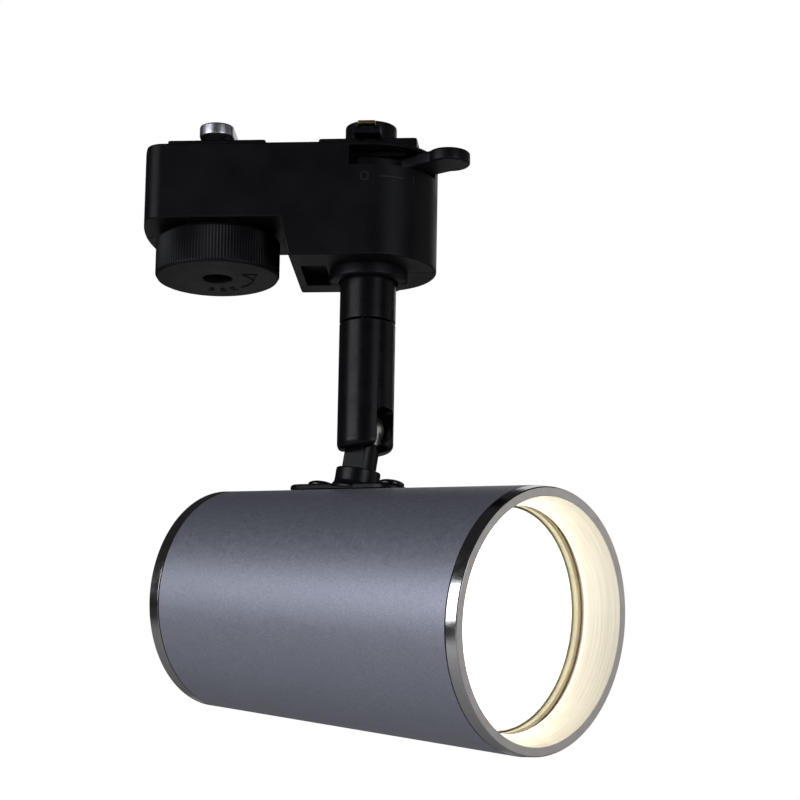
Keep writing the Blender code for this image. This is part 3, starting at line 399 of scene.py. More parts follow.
def turned_metal(name, colour, roughness, flat=False, spacing=0.11 * MM, depth=0.0016 * MM):
    """Turned metal, with rings along the piece's axis, or across a flat face."""
    finish = Finish(name, colour, roughness, 1)
    rings = finish.radial_rings(spacing) if flat else finish.rings(spacing)
    finish.colour(finish.toned(finish.between(rings, 0, 1), colour, 0.92, 1.06))
    finish.uneven(finish.noise(400, 4), roughness - 0.04, roughness + 0.05)
    finish.bump(rings, depth, 0.5)
    return finish.material


def plain_metal(name, colour, roughness):
    """Stamped or drawn metal with fine scratches and a mottled plating."""
    finish = Finish(name, colour, roughness, 1)
    finish.colour(finish.toned(finish.patches(350, 4), colour, 0.8, 1.1))
    scratches = finish.noise(1, 3, finish.stretched((9000, 500, 500)))
    finish.uneven(scratches, roughness - 0.08, roughness + 0.1)
    finish.bump(scratches, 0.003 * MM, 0.4)
    return finish.material


def smooth_plastic(name, colour, roughness, coat):
    finish = Finish(name, colour, roughness).set(Coat_Weight=coat)
    finish.colour(finish.toned(finish.patches(150), colour, 0.95, 1.03))
    finish.uneven(finish.noise(500), roughness - 0.04, roughness + 0.06)
    finish.grain(1800, 0.005 * MM, 0.4)
    return finish.material


def sleeving(name, colour):
    """Wire insulation with fine drawing lines."""
    finish = Finish(name, colour, 0.42)
    finish.colour(finish.toned(finish.patches(400), colour, 0.8, 1.2))
    finish.grain(2500, 0.01 * MM, 0.5)
    return finish.material


def opal_diffuser():
    """The lit lamp face: warm white, a little brighter in soft random patches."""
    finish = Finish("opal_diffuser", (0.9, 0.88, 0.82), 0.35)
    glow = finish.mixed(finish.patches(75, 1), (1.0, 0.93, 0.76), (1.0, 0.95, 0.82))
    finish.link(glow, finish.shader.inputs["Emission Color"])
    finish.set(Emission_Strength=DIFFUSER_GLOW)
    finish.grain(2200, 0.01 * MM, 0.4)
    return finish.material


def glowing_silicone():
    """The centring ring, lit through by the lamp beside it."""
    colour = (0.62, 0.57, 0.4)
    finish = Finish("silicone_ring", colour, 0.35).set(Subsurface_Weight=0.3, Subsurface_Scale=2 * MM)
    finish.colour(finish.toned(finish.patches(200), colour, 0.85, 1.1))
    finish.grain(1800, 0.008 * MM, 0.4)
    return finish.material


def circuit_board():
    mask = (0.72, 0.75, 0.71)
    finish = Finish("solder_mask", mask, 0.4)
    tracks = finish.cells(420)
    finish.colour(finish.mixed(finish.between(tracks, 0, 1, 0.45, 0.55), mask, (0.8, 0.82, 0.79)))
    finish.bump(tracks, 0.02 * MM, 0.4)
    return finish.material


band_metal = turned_metal("polished_band", (0.47, 0.455, 0.44), 0.15)

SLOT_FINISH = {
    "black_plastic": moulded_plastic("moulded_black", BLACK),
    "black_paint": powder_coat(),
    "black_steel": plain_metal("blackened_steel", (0.045, 0.045, 0.05), 0.26),
    "steel": plain_metal("zinc_plated_steel", (0.56, 0.56, 0.58), 0.32),
    "brass": plain_metal("contact_brass", (0.72, 0.5, 0.2), 0.26),
    "silver_paint": silver_paint(),
    "polished_aluminium": band_metal,
    "silicone": glowing_silicone(),
    "white_plastic": smooth_plastic("white_plastic", (0.85, 0.85, 0.82), 0.25, 0.3),
    "diffuser": opal_diffuser(),
    "ceramic": smooth_plastic("steatite", (0.86, 0.85, 0.8), 0.22, 0.5),
    "circuit_board": circuit_board(),
    "red_sleeving": sleeving("red_sleeving_lined", (0.5, 0.05, 0.035)),
    "blue_sleeving": sleeving("blue_sleeving_lined", (0.04, 0.11, 0.42)),
}

# Finishes of single pieces
lever_plastic = moulded_plastic("moulded_black_lever", lighter(BLACK, 1.3), 0.36)
# The switch marks are lighter: partly worn tops, partly a painted highlight for the glints that raised marks
# catch.
worn_and_glinting_marks = moulded_plastic("moulded_black_switch_marks_worn_and_glinting", lighter(BLACK, 4), 0.4)
# The knob's marks are darker than the knob: painted shade, standing for the shadow in sunken marks.
shaded_knob_marks = moulded_plastic("moulded_black_knob_marks_painted_shade", lighter(BLACK, 0.45), 0.6)
bare_knuckle = knuckle_paint()
face_metal = turned_metal("satin_face", (0.62, 0.59, 0.57), 0.34, flat=True, spacing=0.18 * MM)
# The cone's cream tint is painted lamp light: the warm glow of the lamp falling on it.
lamp_tinted_cone = turned_metal("lamp_tinted_reflector", (0.86, 0.83, 0.76), 0.5, spacing=0.4 * MM, depth=0.004 * MM)


# ---------------------------------------------------------------- outlines
def arc(centre_x, centre_y, radius, start, end, steps):
    """Points along an arc, in degrees, both ends included."""
    points = []
    for step in range(steps + 1):
        angle = math.radians(start + (end - start) * step / steps)
        points.append((centre_x + radius * math.cos(angle), centre_y + radius * math.sin(angle)))
    return points


def on_circle(radius, degrees):
    return arc(0, 0, radius, degrees, degrees, 1)[0]


def circle(centre_x, centre_y, radius, steps=48):
    return arc(centre_x, centre_y, radius, 0, 360, steps)[:-1]


def box_outline(low_x, high_x, low_y, high_y):
    return [(low_x, low_y), (high_x, low_y), (high_x, high_y), (low_x, high_y)]


def stadium(length, width, steps=24):
    """A bar with round ends, along X."""
    reach = (length - width) / 2
    return arc(reach, 0, width / 2, -90, 90, steps) + arc(-reach, 0, width / 2, 90, 270, steps)


def rounded(points, radius, closed=True, steps=3):
    """Rounds an outline's corners. A point may give its own radius as a third number."""
    made = []
    for index, point in enumerate(points):
        corner = Vector(point[:2])
        if not closed and index in (0, len(points) - 1):
            made.append(tuple(corner))
            continue
        into = corner - Vector(points[index - 1][:2])
        out = Vector(points[(index + 1) % len(points)][:2]) - corner
        turn = into.angle(out)
        wanted = point[2] if len(point) > 2 else radius
        if turn < math.radians(8) or not wanted:
            made.append(tuple(corner))
            continue
        reach = min(wanted * math.tan(turn / 2), 0.45 * into.length, 0.45 * out.length)
        start, end = corner - into.normalized() * reach, corner + out.normalized() * reach
        for step in range(steps + 1):
            t = step / steps
            made.append(tuple(start * (1 - t) ** 2 + corner * 2 * t * (1 - t) + end * t**2))
    return made


# ---------------------------------------------------------------- shapes
def turned(profile, sides=STEM_SIDES):
    """A profile of (radius, height) points spun about Z: a ring, or a solid if it starts on the axis."""
    bm = bmesh.new()
    points = [bm.verts.new((radius, 0, height)) for radius, height in profile]
    following = points[1:]
    if min(radius for radius, _ in profile) > 0:
        following = points[1:] + points[:1]
    edges = [bm.edges.new(pair) for pair in zip(points, following)]
    bmesh.ops.spin(bm, geom=points + edges, axis=(0, 0, 1), angle=math.tau, steps=sides, use_merge=True)
    bmesh.ops.remove_doubles(bm, verts=bm.verts, dist=0.001 * MM)
    bmesh.ops.recalc_face_normals(bm, faces=bm.faces)
    return bm


def rod(radius, low, high, sides):
    return turned([(0, low), (radius, low), (radius, high), (0, high)], sides)


def slab(outline, low, high, edge=0.0, along="Z", steps=3):
    """An outline extruded from low to high, with its rims rounded by edge."""
    place = {
        "X": lambda u, v, w: (w, u, v),
        "Y": lambda u, v, w: (u, w, v),
        "Z": lambda u, v, w: (u, v, w),
    }[along]
    bm = bmesh.new()
    face = bm.faces.new([bm.verts.new(place(u, v, low)) for u, v in outline])
    grown = bmesh.ops.extrude_face_region(bm, geom=[face])["geom"]
    raised = [item for item in grown if isinstance(item, bmesh.types.BMVert)]
    bmesh.ops.translate(bm, verts=raised, vec=place(0, 0, high - low))
    bmesh.ops.recalc_face_normals(bm, faces=bm.faces)
    if edge:
        soften(bm, edge, steps=steps)
    return bm


def soften(bm, width, sharper_than=50, steps=3, wanted=lambda edge: True):
    """Rounds the edges of a bmesh that are sharper than an angle in degrees."""
    sharp = [
        edge
        for edge in bm.edges
        if len(edge.link_faces) == 2
        and edge.calc_face_angle() > math.radians(sharper_than)
        and wanted(edge)
    ]
    bmesh.ops.bevel(bm, geom=sharp, offset=width, segments=steps, profile=0.5, affect="EDGES")


def moved(bm, matrix):
    bmesh.ops.transform(bm, matrix=matrix, verts=bm.verts)
    return bm


def put(name, data):
    """A new object in the scene."""
    made = bpy.data.objects.new(name, data)
    bpy.context.scene.collection.objects.link(made)
    return made


def as_object(name, bm, matrix=Matrix.Identity(4)):
    bmesh.ops.recalc_face_normals(bm, faces=bm.faces)
    mesh = bpy.data.meshes.new(name)
    bm.to_mesh(mesh)
    bm.free()
    made = put(name, mesh)
    made.matrix_world = matrix
    return made


def evaluated(item):
    """Applies an object's modifiers."""
    bpy.context.view_layer.update()
    mesh = bpy.data.meshes.new_from_object(item.evaluated_get(bpy.context.evaluated_depsgraph_get()))
    item.modifiers.clear()
    item.data = mesh


def boolean(target, steps):
    """Cuts, joins or keeps with each (operation, bmesh) in the target's own frame, in one go."""
    tools = []
    for operation, bm in steps:
        tool = as_object(f"{target.name}.tool", bm, target.matrix_world)
        tool.hide_render = True
        tools.append(tool)
        change = target.modifiers.new(tool.name, "BOOLEAN")
        change.operation = operation
        change.solver = "EXACT"
        change.object = tool
    evaluated(target)
    for tool in tools:
        bpy.data.objects.remove(tool)
    return target


def less(*shapes):
    return [("DIFFERENCE", bm) for bm in shapes]


def plus(*shapes):
    return [("UNION", bm) for bm in shapes]


def cut(target, *shapes):
    return boolean(target, less(*shapes))


def join(target, *shapes):
    return boolean(target, plus(*shapes))


def ease(target, width, sharper_than=50, merge=0.05 * MM, steps=2, wanted=lambda edge: True):
    """Rounds the sharp edges that cuts have left."""
    bm = bmesh.new()
    bm.from_mesh(target.data)
    bmesh.ops.remove_doubles(bm, verts=bm.verts, dist=merge)
    bmesh.ops.dissolve_degenerate(bm, edges=bm.edges, dist=merge / 5)
    soften(bm, width, sharper_than, steps, wanted)
    bm.to_mesh(target.data)
    bm.free()


def finished(name, target, body, nodes, slot, finishes=None, choose=None):
    """Shades the piece, gives it its slot's finish or others, and puts it on its body for its CAD nodes."""
    target.name = name
    mesh = target.data
    mesh.name = name
    mesh.materials.clear()
    for finish in finishes or [SLOT_FINISH[slot]]:
        mesh.materials.append(finish)
    for face in mesh.polygons:
        face.material_index = choose(face) if choose else 0
    mesh.shade_smooth()
    mesh.set_sharp_from_angle(angle=math.radians(32))
    shading = target.modifiers.new("even shading", "WEIGHTED_NORMAL")
    shading.keep_sharp = True
    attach(target, body)
    if nodes:
        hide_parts(*nodes)


# ---------------------------------------------------------------- adapter housing
def housing_plan(inset):
    """The housing from above, counter-clockwise, with a point at each end of the step."""
    half = WIDTH / 2 - inset
    corner_x, corner_y = CORNER - LENGTH / 2, WIDTH / 2 - CORNER
    spread = math.asin(corner_y / (END_RADIUS - CORNER))
    bulge_x = corner_x + (END_RADIUS - CORNER) * math.cos(spread)
    spread = math.degrees(spread)
    steps_x = (STEP_TOP_X + inset, STEP_LOW_X + inset)
    outline = arc(corner_x, -corner_y, CORNER - inset, 180 + spread, 270, 10)
    outline += [(x, -half) for x in steps_x]
    outline += arc(LENGTH / 2 - WIDTH / 2, 0, half, -90, 90, 72)
    outline += [(x, half) for x in reversed(steps_x)]
    outline += arc(corner_x, corner_y, CORNER - inset, 90, 180 - spread, 10)
    outline += arc(bulge_x, 0, END_RADIUS - inset, 180 - spread, 180 + spread, 18)[1:-1]
    return outline


def housing_block(inset, edge=0.0):
    """Shallow at the left, a slanted step, deep at the right, with upright walls all round."""
    outline = housing_plan(inset)
    step_top, step_low = STEP_TOP_X + inset, STEP_LOW_X + inset
    shallow = [x <= step_top + 1e-9 for x, _ in outline]
    deep = [x >= step_low - 1e-9 for x, _ in outline]
    bm = bmesh.new()
    top = [bm.verts.new((x, y, -inset)) for x, y in outline]
    low = [bm.verts.new((x, y, inset - (SHALLOW if at else DEEP))) for (x, y), at in zip(outline, shallow)]
    bm.faces.new(top)
    bm.faces.new([vert for vert, at in zip(low, shallow) if at])
    bm.faces.new([vert for vert, at in zip(low, deep) if at])
    slant = [v for v in low if step_top - 1e-9 <= v.co.x <= step_low + 1e-9]
    bm.faces.new(slant)
    for index in range(len(outline)):
        after = (index + 1) % len(outline)
        bm.faces.new((top[index], top[after], low[after], low[index]))
    bmesh.ops.recalc_face_normals(bm, faces=bm.faces)
    if edge:
        soften(bm, edge, wanted=lambda item: item.is_convex)
    return bm


# Each shell screw's x and z, and how far its boss reaches from the seam
SHELL_SCREWS = (
    (-28.2 * MM, -13 * MM, 14 * MM),
    (-5.5 * MM, -13 * MM, 14 * MM),
    (26 * MM, -16.5 * MM, 10 * MM),
)
SCREW_HEAD_DEPTH = 2.4 * MM
BOSS_RADIUS = 3.4 * MM
SHELL_SCREW_HOLE = 1.7 * MM
SHELL_SCREW_SINK = 3.1 * MM  # radius of the recess that takes the head


def seat_of(reach):
    """How far beyond the seam a shell screw's head sits."""
    return reach + MM - SCREW_HEAD_DEPTH


def lever_slot():
    left, inner, out, back = -TAB_RELIEF - GAP, 9 * MM, 26 * MM, -3 * MM
    outline = [(left, -inner), (left, -out), (out, -out), (out, back), (inner, back), (inner, -inner)]
    return slab([(AXLE.x + x, y) for x, y in outline], ROTOR_LOW - GAP, -0.9 * MM)


def collar():
    low = -DEEP - COLLAR_DROP
    profile = [(STEM_RADIUS + BEARING_GAP, -DEEP + WALL / 2), (STEM_RADIUS + BEARING_GAP, low, 0.25 * MM)]
    profile += [(COLLAR_RADIUS, low, 0.7 * MM), (COLLAR_RADIUS, -DEEP + WALL / 2)]
    return moved(turned(rounded(profile, 0), 120), Matrix.Translation(AXLE))


def track_guides():
    guides = []
    for centre in (-AXLE.x, AXLE.x):
        ends = (centre - GUIDE_HALF_LENGTH, centre + GUIDE_HALF_LENGTH)
        guide = rounded(box_outline(*ends, -GUIDE_HALF_WIDTH, GUIDE_HALF_WIDTH), 0.8 * MM)
        guides.append(slab(guide, -WALL / 2, GUIDE_HEIGHT, 0.3 * MM))
    return guides


def screw_bosses():
    return [slab(circle(x, z, BOSS_RADIUS), -reach, reach, along="Y") for x, z, reach in SHELL_SCREWS]


def screw_holes():
    holes = []
    for x, z, reach in SHELL_SCREWS:
        holes.append(slab(circle(x, z, SHELL_SCREW_HOLE), 1.2 * MM - reach, WIDTH, along="Y"))
        holes.append(slab(circle(x, z, SHELL_SCREW_SINK), seat_of(reach), WIDTH, along="Y"))
    return holes


def collar_notches():
    """A small notch at each side of the collar, on the seam."""
    half_length, half_width = 0.9 * MM, 0.55 * MM
    notches = []
    for side in (-1, 1):
        centre = AXLE.x + side * COLLAR_RADIUS
        outline = box_outline(centre - half_length, centre + half_length, -half_width, half_width)
        notches.append(slab(outline, -2 * DEEP, -DEEP - 0.05 * MM))
    return notches


def housing():
    """Both halves in one, with its guides, bosses, bores and pocket."""
    made = as_object("housing", housing_block(0, HOUSING_EDGE))
    axle = Matrix.Translation(AXLE)
    shaft = Matrix.Translation(-AXLE)
    pocket_walls = slab(box_outline(1.2 * MM, 9.2 * MM, -8 * MM, 11 * MM), 0.9 * MM - DEEP, 4.4 * MM - DEEP)
    pocket = rounded(box_outline(2.4 * MM, 8.4 * MM, -6.2 * MM, 9.2 * MM), 0.3 * MM)
    steps = less(housing_block(WALL))
    steps += plus(*track_guides(), pocket_walls, *screw_bosses())
    steps += less(moved(rod(STEM_RADIUS + BEARING_GAP, -2 * DEEP, 3 * MM - DEEP, 120), axle))
    steps += plus(collar())
    steps += less(*screw_holes())
    steps += less(moved(rod(POST_RADIUS + BEARING_GAP, -3 * MM, 5 * MM, 96), axle))
    steps += less(moved(rod(CAM_SHAFT_RADIUS + BEARING_GAP, -3 * MM, 5 * MM, 64), shaft))
    steps += less(moved(rod(HUB_RADIUS + BEARING_GAP, -SHALLOW - MM, 3 * MM - SHALLOW, 64), shaft))
    steps += less(lever_slot(), slab(pocket, -DEEP - MM, 2.76 * MM - DEEP), *collar_notches())
    return boolean(made, steps)


def housing_halves():
    whole = housing()
    seam = GAP / 2
    lap_half, lap_reach = 5.2 * MM, 2 * MM
    for name, side in (("near", -1), ("far", 1)):
        across = sorted((seam * side, side * WIDTH))
        half = as_object(f"housing_{name}", slab(box_outline(-LENGTH, LENGTH, *across), -2 * DEEP, DEEP))
        if side < 0:
            join(half, slab(box_outline(-lap_half, lap_half, -MM, lap_reach), -3 * MM, MM))
        else:
            clear = box_outline(-lap_half - GAP, lap_half + GAP, -MM, lap_reach + GAP)
            cut(half, slab(clear, -3 * MM - GAP, 2 * MM))
        copy = bmesh.new()
        copy.from_mesh(whole.data)
        boolean(half, [("INTERSECT", copy)])
        node = "adapter_shell_front" if side < 0 else "adapter_shell_rear"
        finished(f"housing_{name}", half, "adapter", [node], "black_plastic")
    bpy.data.objects.remove(whole)


# ---------------------------------------------------------------- marks
def wall_point(along, height, out):
    """A point on the near wall and round its right end, by distance from the round end's start."""
    centre, half = LENGTH / 2 - WIDTH / 2, WIDTH / 2
    if along <= 0:
        return (centre + along, -half - out, height)
    angle = along / half - math.pi / 2
    return (centre + (half + out) * math.cos(angle), (half + out) * math.sin(angle), height)


def stroke(bm, points, width, place, closed=False):
    """A raised line along points of a flat drawing, put on a surface by place(u, v, out)."""
    count = len(points)
    rows = []
    for index, point in enumerate(points):
        before = points[index - 1] if closed or index else point
        after = points[(index + 1) % count] if closed or index < count - 1 else point
        run = (Vector(after) - Vector(before)).normalized() * width / 2
        u, v = point
        row = []
        for side in (-1, 1):
            for out in (-0.1 * MM, 0.14 * MM):
                row.append(bm.verts.new(place(u - side * run.y, v + side * run.x, out)))
        rows.append(row)
    pairs = list(zip(rows, rows[1:] + rows[:1] if closed else rows[1:]))
    for row, following in pairs:
        for first, second in ((0, 1), (1, 3), (3, 2), (2, 0)):
            bm.faces.new((row[first], row[second], following[second], following[first]))
    if not closed:
        for row in (rows[0], rows[-1]):
            bm.faces.new((row[0], row[1], row[3], row[2]))


def switch_marks():
    """Off, a dash and on, moulded under the lever's slot, lighter than the housing: partly worn tops, partly a
    painted highlight for the glints they catch.
    """
    bm = bmesh.new()
    low, tall, width = -9.6 * MM, 2.1 * MM, 0.34 * MM
    middle = low + tall / 2
    angles = [math.tau * step / 20 for step in range(20)]
    ring = [(-0.6 * MM + 0.85 * MM * math.cos(a), middle + tall / 2 * math.sin(a)) for a in angles]
    stroke(bm, ring, width, wall_point, closed=True)
    dash = [(MM * (2.7 + 0.57 * step), middle) for step in range(11)]
    stroke(bm, dash, width, wall_point)
    stroke(bm, [(11.3 * MM, low), (11.3 * MM, low + tall)], width, wall_point)
    marks = as_object("switch_marks", bm)
    finished("switch_marks", marks, "adapter", [], "black_plastic", [worn_and_glinting_marks])


# ---------------------------------------------------------------- screws
def cross_screw(node, body, matrix, head_radius, head_height, shank_radius, length):
    """A domed cross-head screw: the head's underside at z 0, the shank down, the head up."""
    skirt = 0.32 * head_height
    angles = [math.pi / 2 * step / 10 for step in range(10)]
    dome = [(head_radius * math.cos(a), skirt + (head_height - skirt) * math.sin(a)) for a in angles]
    profile = [(0, -length), (0.5 * shank_radius, -length), (shank_radius, -length + 0.6 * shank_radius)]
    profile += [(shank_radius, 0), (head_radius - 0.1 * MM, 0), (head_radius, 0.12 * MM)]
    profile += [*dome, (0, head_height)]
    screw = as_object(node, turned(profile, 48), matrix)
    arm, blade = 0.52 * head_radius, 0.13 * head_radius
    outline = rounded(box_outline(-arm, arm, -blade, blade), 0.6 * blade)
    for along in (0, 90):
        recess = slab(outline, 0.3 * head_height, 2 * head_height)
        for vert in recess.verts:
            if vert.co.z < head_height:
                vert.co.x *= 0.55
                vert.co.y *= 0.8
        cut(screw, moved(recess, Matrix.Rotation(math.radians(along), 4, "Z")))
    finished(f"{node}_cross_head", screw, body, [node], "black_steel")


def shell_screws():
    for name, (x, z, reach) in zip(("left", "middle", "right"), SHELL_SCREWS):
        seat = seat_of(reach) + GAP
        matrix = Matrix.Translation((x, seat, z)) @ Matrix.Rotation(-math.pi / 2, 4, "X")
        length = seat + reach - 1.5 * MM
        cross_screw(f"shell_screw_{name}", "adapter", matrix, 2.7 * MM, 1.7 * MM, 1.4 * MM, length)


# ---------------------------------------------------------------- contact lever
def lever_tab():
    """A neck with a round end and a softened rim, relieved on the side that meets the end of the slot."""
    meet = math.degrees(math.asin(TAB_NECK / TAB_RADIUS))
    end = arc(TAB_REACH, 0, TAB_RADIUS, meet - 180, 180 - meet, 48)
    outside = WIDTH / 2 + GAP
    neck = [(5 * MM, TAB_NECK), (5 * MM, -TAB_RELIEF), (outside, -TAB_RELIEF)]
    neck.append((outside + TAB_SHOULDER, -TAB_NECK))
    tab = slab(neck + end, ROTOR_LOW, TAB_TOP, 0.6 * MM, steps=4)
    return moved(tab, Matrix.Rotation(TAB_ANGLE, 4, "Z"))


def contact_lever():
    profile = [(0, SHELF_TOP), (JOURNAL_RADIUS, SHELF_TOP), (JOURNAL_RADIUS, ROTOR_LOW)]
    profile += [(ROTOR_RADIUS, ROTOR_LOW, 0.25 * MM), (ROTOR_RADIUS, ROTOR_TOP, 0.25 * MM)]
    profile += [(POST_RADIUS, ROTOR_TOP, 0.3 * MM), (POST_RADIUS, 8.2 * MM, 0.5 * MM), (0, 8.2 * MM)]
    lever = as_object("lever", turned(rounded(profile, 0, closed=False), 120), LEVER)
    wing, wing_top = 10.8 * MM, 5.1 * MM
    wings = slab(box_outline(-3.2 * MM, 3.2 * MM, -wing, wing), ABOVE_GUIDES, wing_top, 0.15 * MM)
    steps = plus(lever_tab(), wings)
    half, channel_top = 2.3 * MM, 6.5 * MM
    for side in (-1, 1):
        foot = box_outline(-half, half, *sorted((side * 2.3 * MM, side * 3.7 * MM)))
        reach = box_outline(-half, half, *sorted((side * 2.3 * MM, side * 20 * MM)))
        steps += less(slab(foot, SHELF_TOP - MM, channel_top), slab(reach, wing_top, channel_top))
    boolean(lever, steps)
    finished("lever_moulding", lever, "lever", ["contact_lever"], "black_plastic", [lever_plastic])


def contact_blades():
    """Each is a strip bent at a right angle, with a rounded bend and a bevelled tip."""
    thick, low, top, inner = 0.8 * MM, 5.4 * MM, 6.2 * MM, 2.6 * MM
    for name, side in (("live", -1), ("neutral", 1)):
        outline = [(inner, SHELF_TOP), (inner + thick, SHELF_TOP), (inner + thick, low, 0.2 * MM)]
        outline += [(WING_REACH, low), (WING_REACH, top, 0.4 * MM), (inner, top, 0.9 * MM)]
        outline = [(side * y, z) for y, z in rounded(outline, 0.05 * MM, steps=5)]
        blade = as_object("blade", slab(outline, -2 * MM, 2 * MM, 0.12 * MM, "X"), LEVER)
        node = f"contact_blade_{name}"
        finished(f"{node}_strip", blade, "lever", [node], "brass")


# ---------------------------------------------------------------- lock knob
SOCKET_LOW = -20.2 * MM
HUB_TOP = -15.5 * MM
COUNTERBORE_RADIUS = 3.4 * MM
COUNTERBORE_TOP = -23.1 * MM


def knob_face(u, v, out):
    """A point of the flat underside, for marks that stand out from it."""
    return (u, v, KNOB_LOW - out)


def ribbed_knob():
    """The knob's outside: fine straight ribs that run out at a plain band at each end.

    Each level is a height above the underside, a step in from the full radius, and how deep the ribs are.
    """
    tall = (KNOB_TOP - KNOB_LOW) / MM
    levels = [(0, 0.7, 0), (0.12, 0.45, 0), (0.35, 0.3, 0), (0.55, 0.24, 0), (0.8, 0.02, 1)]
    levels += [(tall - 0.9, 0.02, 1), (tall - 0.45, 0.3, 0.4), (tall - 0.15, 0.55, 0), (tall, 0.9, 0)]
    around = 4 * KNOB_RIBS
    bm = bmesh.new()
    rows = []
    for height, step_in, ribbed in levels:
        row = []
        for index in range(around):
            angle = math.tau * index / around
            dip = RIB_DEPTH * ribbed * (0.5 - 0.5 * math.cos(math.tau * index / 4))
            reach = KNOB_RADIUS - step_in * MM - dip
            place = (reach * math.cos(angle), reach * math.sin(angle), KNOB_LOW + height * MM)
            row.append(bm.verts.new(place))
        rows.append(row)
    for row, above in zip(rows, rows[1:]):
        for index in range(around):
            after = (index + 1) % around
            bm.faces.new((row[index], row[after], above[after], above[index]))
    bm.faces.new(rows[0])
    bm.faces.new(rows[-1])
    bmesh.ops.recalc_face_normals(bm, faces=bm.faces)
    return bm


def lock_knob():
    knob = as_object("knob", ribbed_knob(), LOCK)
    marks = bmesh.new()
    middle = 8.4 * MM
    stroke(marks, arc(0, 0, middle, 8, 54, 14), 0.6 * MM, knob_face)
    head = ((middle - 1.3 * MM, -24), (middle + 1.7 * MM, -18), (middle, 9))
    stroke(marks, [on_circle(*corner) for corner in head], 0.7 * MM, knob_face, closed=True)
    for degrees in (66, 84, 102):
        for across in (-0.8, 0.8):
            tick = arc(0, 0, middle + across * MM, degrees, degrees + 8, 3)
            stroke(marks, tick, 0.5 * MM, knob_face)
    bmesh.ops.recalc_face_normals(marks, faces=marks.faces)
    steps = plus(rod(HUB_RADIUS, KNOB_TOP - MM, HUB_TOP, 64))
    steps += less(
        rod(CAM_SHAFT_RADIUS + GAP, SOCKET_LOW, HUB_TOP + MM, 64),
        rod(THREE_MM_HOLE, COUNTERBORE_TOP - MM, SOCKET_LOW + MM, 48),
        rod(COUNTERBORE_RADIUS, KNOB_LOW - MM, COUNTERBORE_TOP, 64),
        chamfer_tool(COUNTERBORE_RADIUS, KNOB_LOW, 0.25 * MM),
    )
    boolean(knob, steps)
    finished("ribbed_knob", knob, "lock", ["lock_knob"], "black_plastic")
    # The marks stand out from the underside, darker than the knob: painted shade for the shadow in sunken marks.
    drawn = as_object("knob_marks", marks, LOCK)
    finished("knob_marks", drawn, "lock", [], "black_plastic", [shaded_knob_marks])


def chamfer_tool(radius, height, size):
    """A cone that bevels the mouth of a hole at the underside of a piece."""
    low, top = height - MM, height + size
    return turned([(0, low), (radius + size + MM, low), (radius, top), (0, top)], 64)


def lock_cam():
    cam = as_object("cam", rod(CAM_SHAFT_RADIUS, SOCKET_LOW + GAP, GUIDE_HEIGHT + MM, 64), LOCK)
    bar = [(y, x) for x, y in stadium(2 * WING_REACH, 8 * MM)]
    join(cam, slab(bar, ABOVE_GUIDES, GUIDE_HEIGHT + 3.2 * MM, 0.4 * MM))
    cut(cam, rod(THREE_MM_HOLE, SOCKET_LOW - MM, SOCKET_LOW + 9 * MM, 32))
    finished("cam_bar", cam, "lock", ["lock_cam"], "steel")


def knob_screw():
    matrix = LOCK @ Matrix.Translation((0, 0, COUNTERBORE_TOP - GAP)) @ Matrix.Rotation(math.pi, 4, "X")
    cross_screw("knob_screw", "lock", matrix, 2.9 * MM, 1.9 * MM, 1.5 * MM, 8 * MM)


def knob_washer():
    low, top = KNOB_TOP + GAP, -SHALLOW - GAP
    inner, outer = HUB_RADIUS + 0.35 * MM, 10 * MM
    profile = rounded([(inner, low), (outer, low), (outer, top), (inner, top)], 0.1 * MM)
    washer = as_object("washer", turned(profile, 96), LOCK)
    finished("knob_washer_ring", washer, "lock", ["knob_washer"], "steel")


# ---------------------------------------------------------------- stem
def stem_sleeve():
    bore, low = NIPPLE_RADIUS + GAP, GROOVE_Z + GAP / 2
    flange_low, flange_top = WALL + GAP - DEEP, WALL + GAP + 1.5 * MM - DEEP
    profile = [(bore, low), (STEM_RADIUS, low, 0.35 * MM), (STEM_RADIUS, flange_low)]
    profile += [(8.2 * MM, flange_low), (8.2 * MM, flange_top), (bore, flange_top)]
    sleeve = as_object("sleeve", turned(rounded(profile, 0), STEM_SIDES), Matrix.Translation(AXLE))
    finished("sleeve_turned", sleeve, "adapter", ["stem_sleeve"], "black_paint")


def stem_tube():
    top = GROOVE_Z - GAP / 2
    hole, bore, ceiling, floor = NIPPLE_RADIUS + 0.15 * MM, 4.95 * MM, -43.5 * MM, -57 * MM
    profile = [(hole, top), (STEM_RADIUS, top, 0.35 * MM), (STEM_RADIUS, TUBE_END_Z, 2.3 * MM)]
    profile += [(2.2 * MM, TUBE_END_Z), (2.2 * MM, floor), (bore, floor), (bore, ceiling), (hole, ceiling)]
    tube = as_object("tube", turned(rounded(profile, 0, steps=8), STEM_SIDES), STEM)
    half, corner = SLOT_WIDTH / 2, SLOT_CORNER
    outline = [(-half, 2 * TUBE_END_Z), (half, 2 * TUBE_END_Z)]
    outline += arc(half - corner, SLOT_TOP_Z - corner, corner, 0, 90, 8)
    outline += arc(corner - half, SLOT_TOP_Z - corner, corner, 90, 180, 8)
    cut(
        tube,
        slab(outline, -2 * STEM_RADIUS, 2 * STEM_RADIUS, along="X"),
        slab(circle(0, PIVOT_Z, THREE_MM_HOLE), -4.9 * MM, 2 * STEM_RADIUS, along="Y"),
        slab(circle(0, PIVOT_Z, TILT_SCREW_SINK), TILT_SCREW_SEAT, 2 * STEM_RADIUS, along="Y"),
    )
    ease(tube, 0.22 * MM, wanted=on_slot_rim)
    finished("tube_turned", tube, "stem", ["stem_tube"], "black_paint")


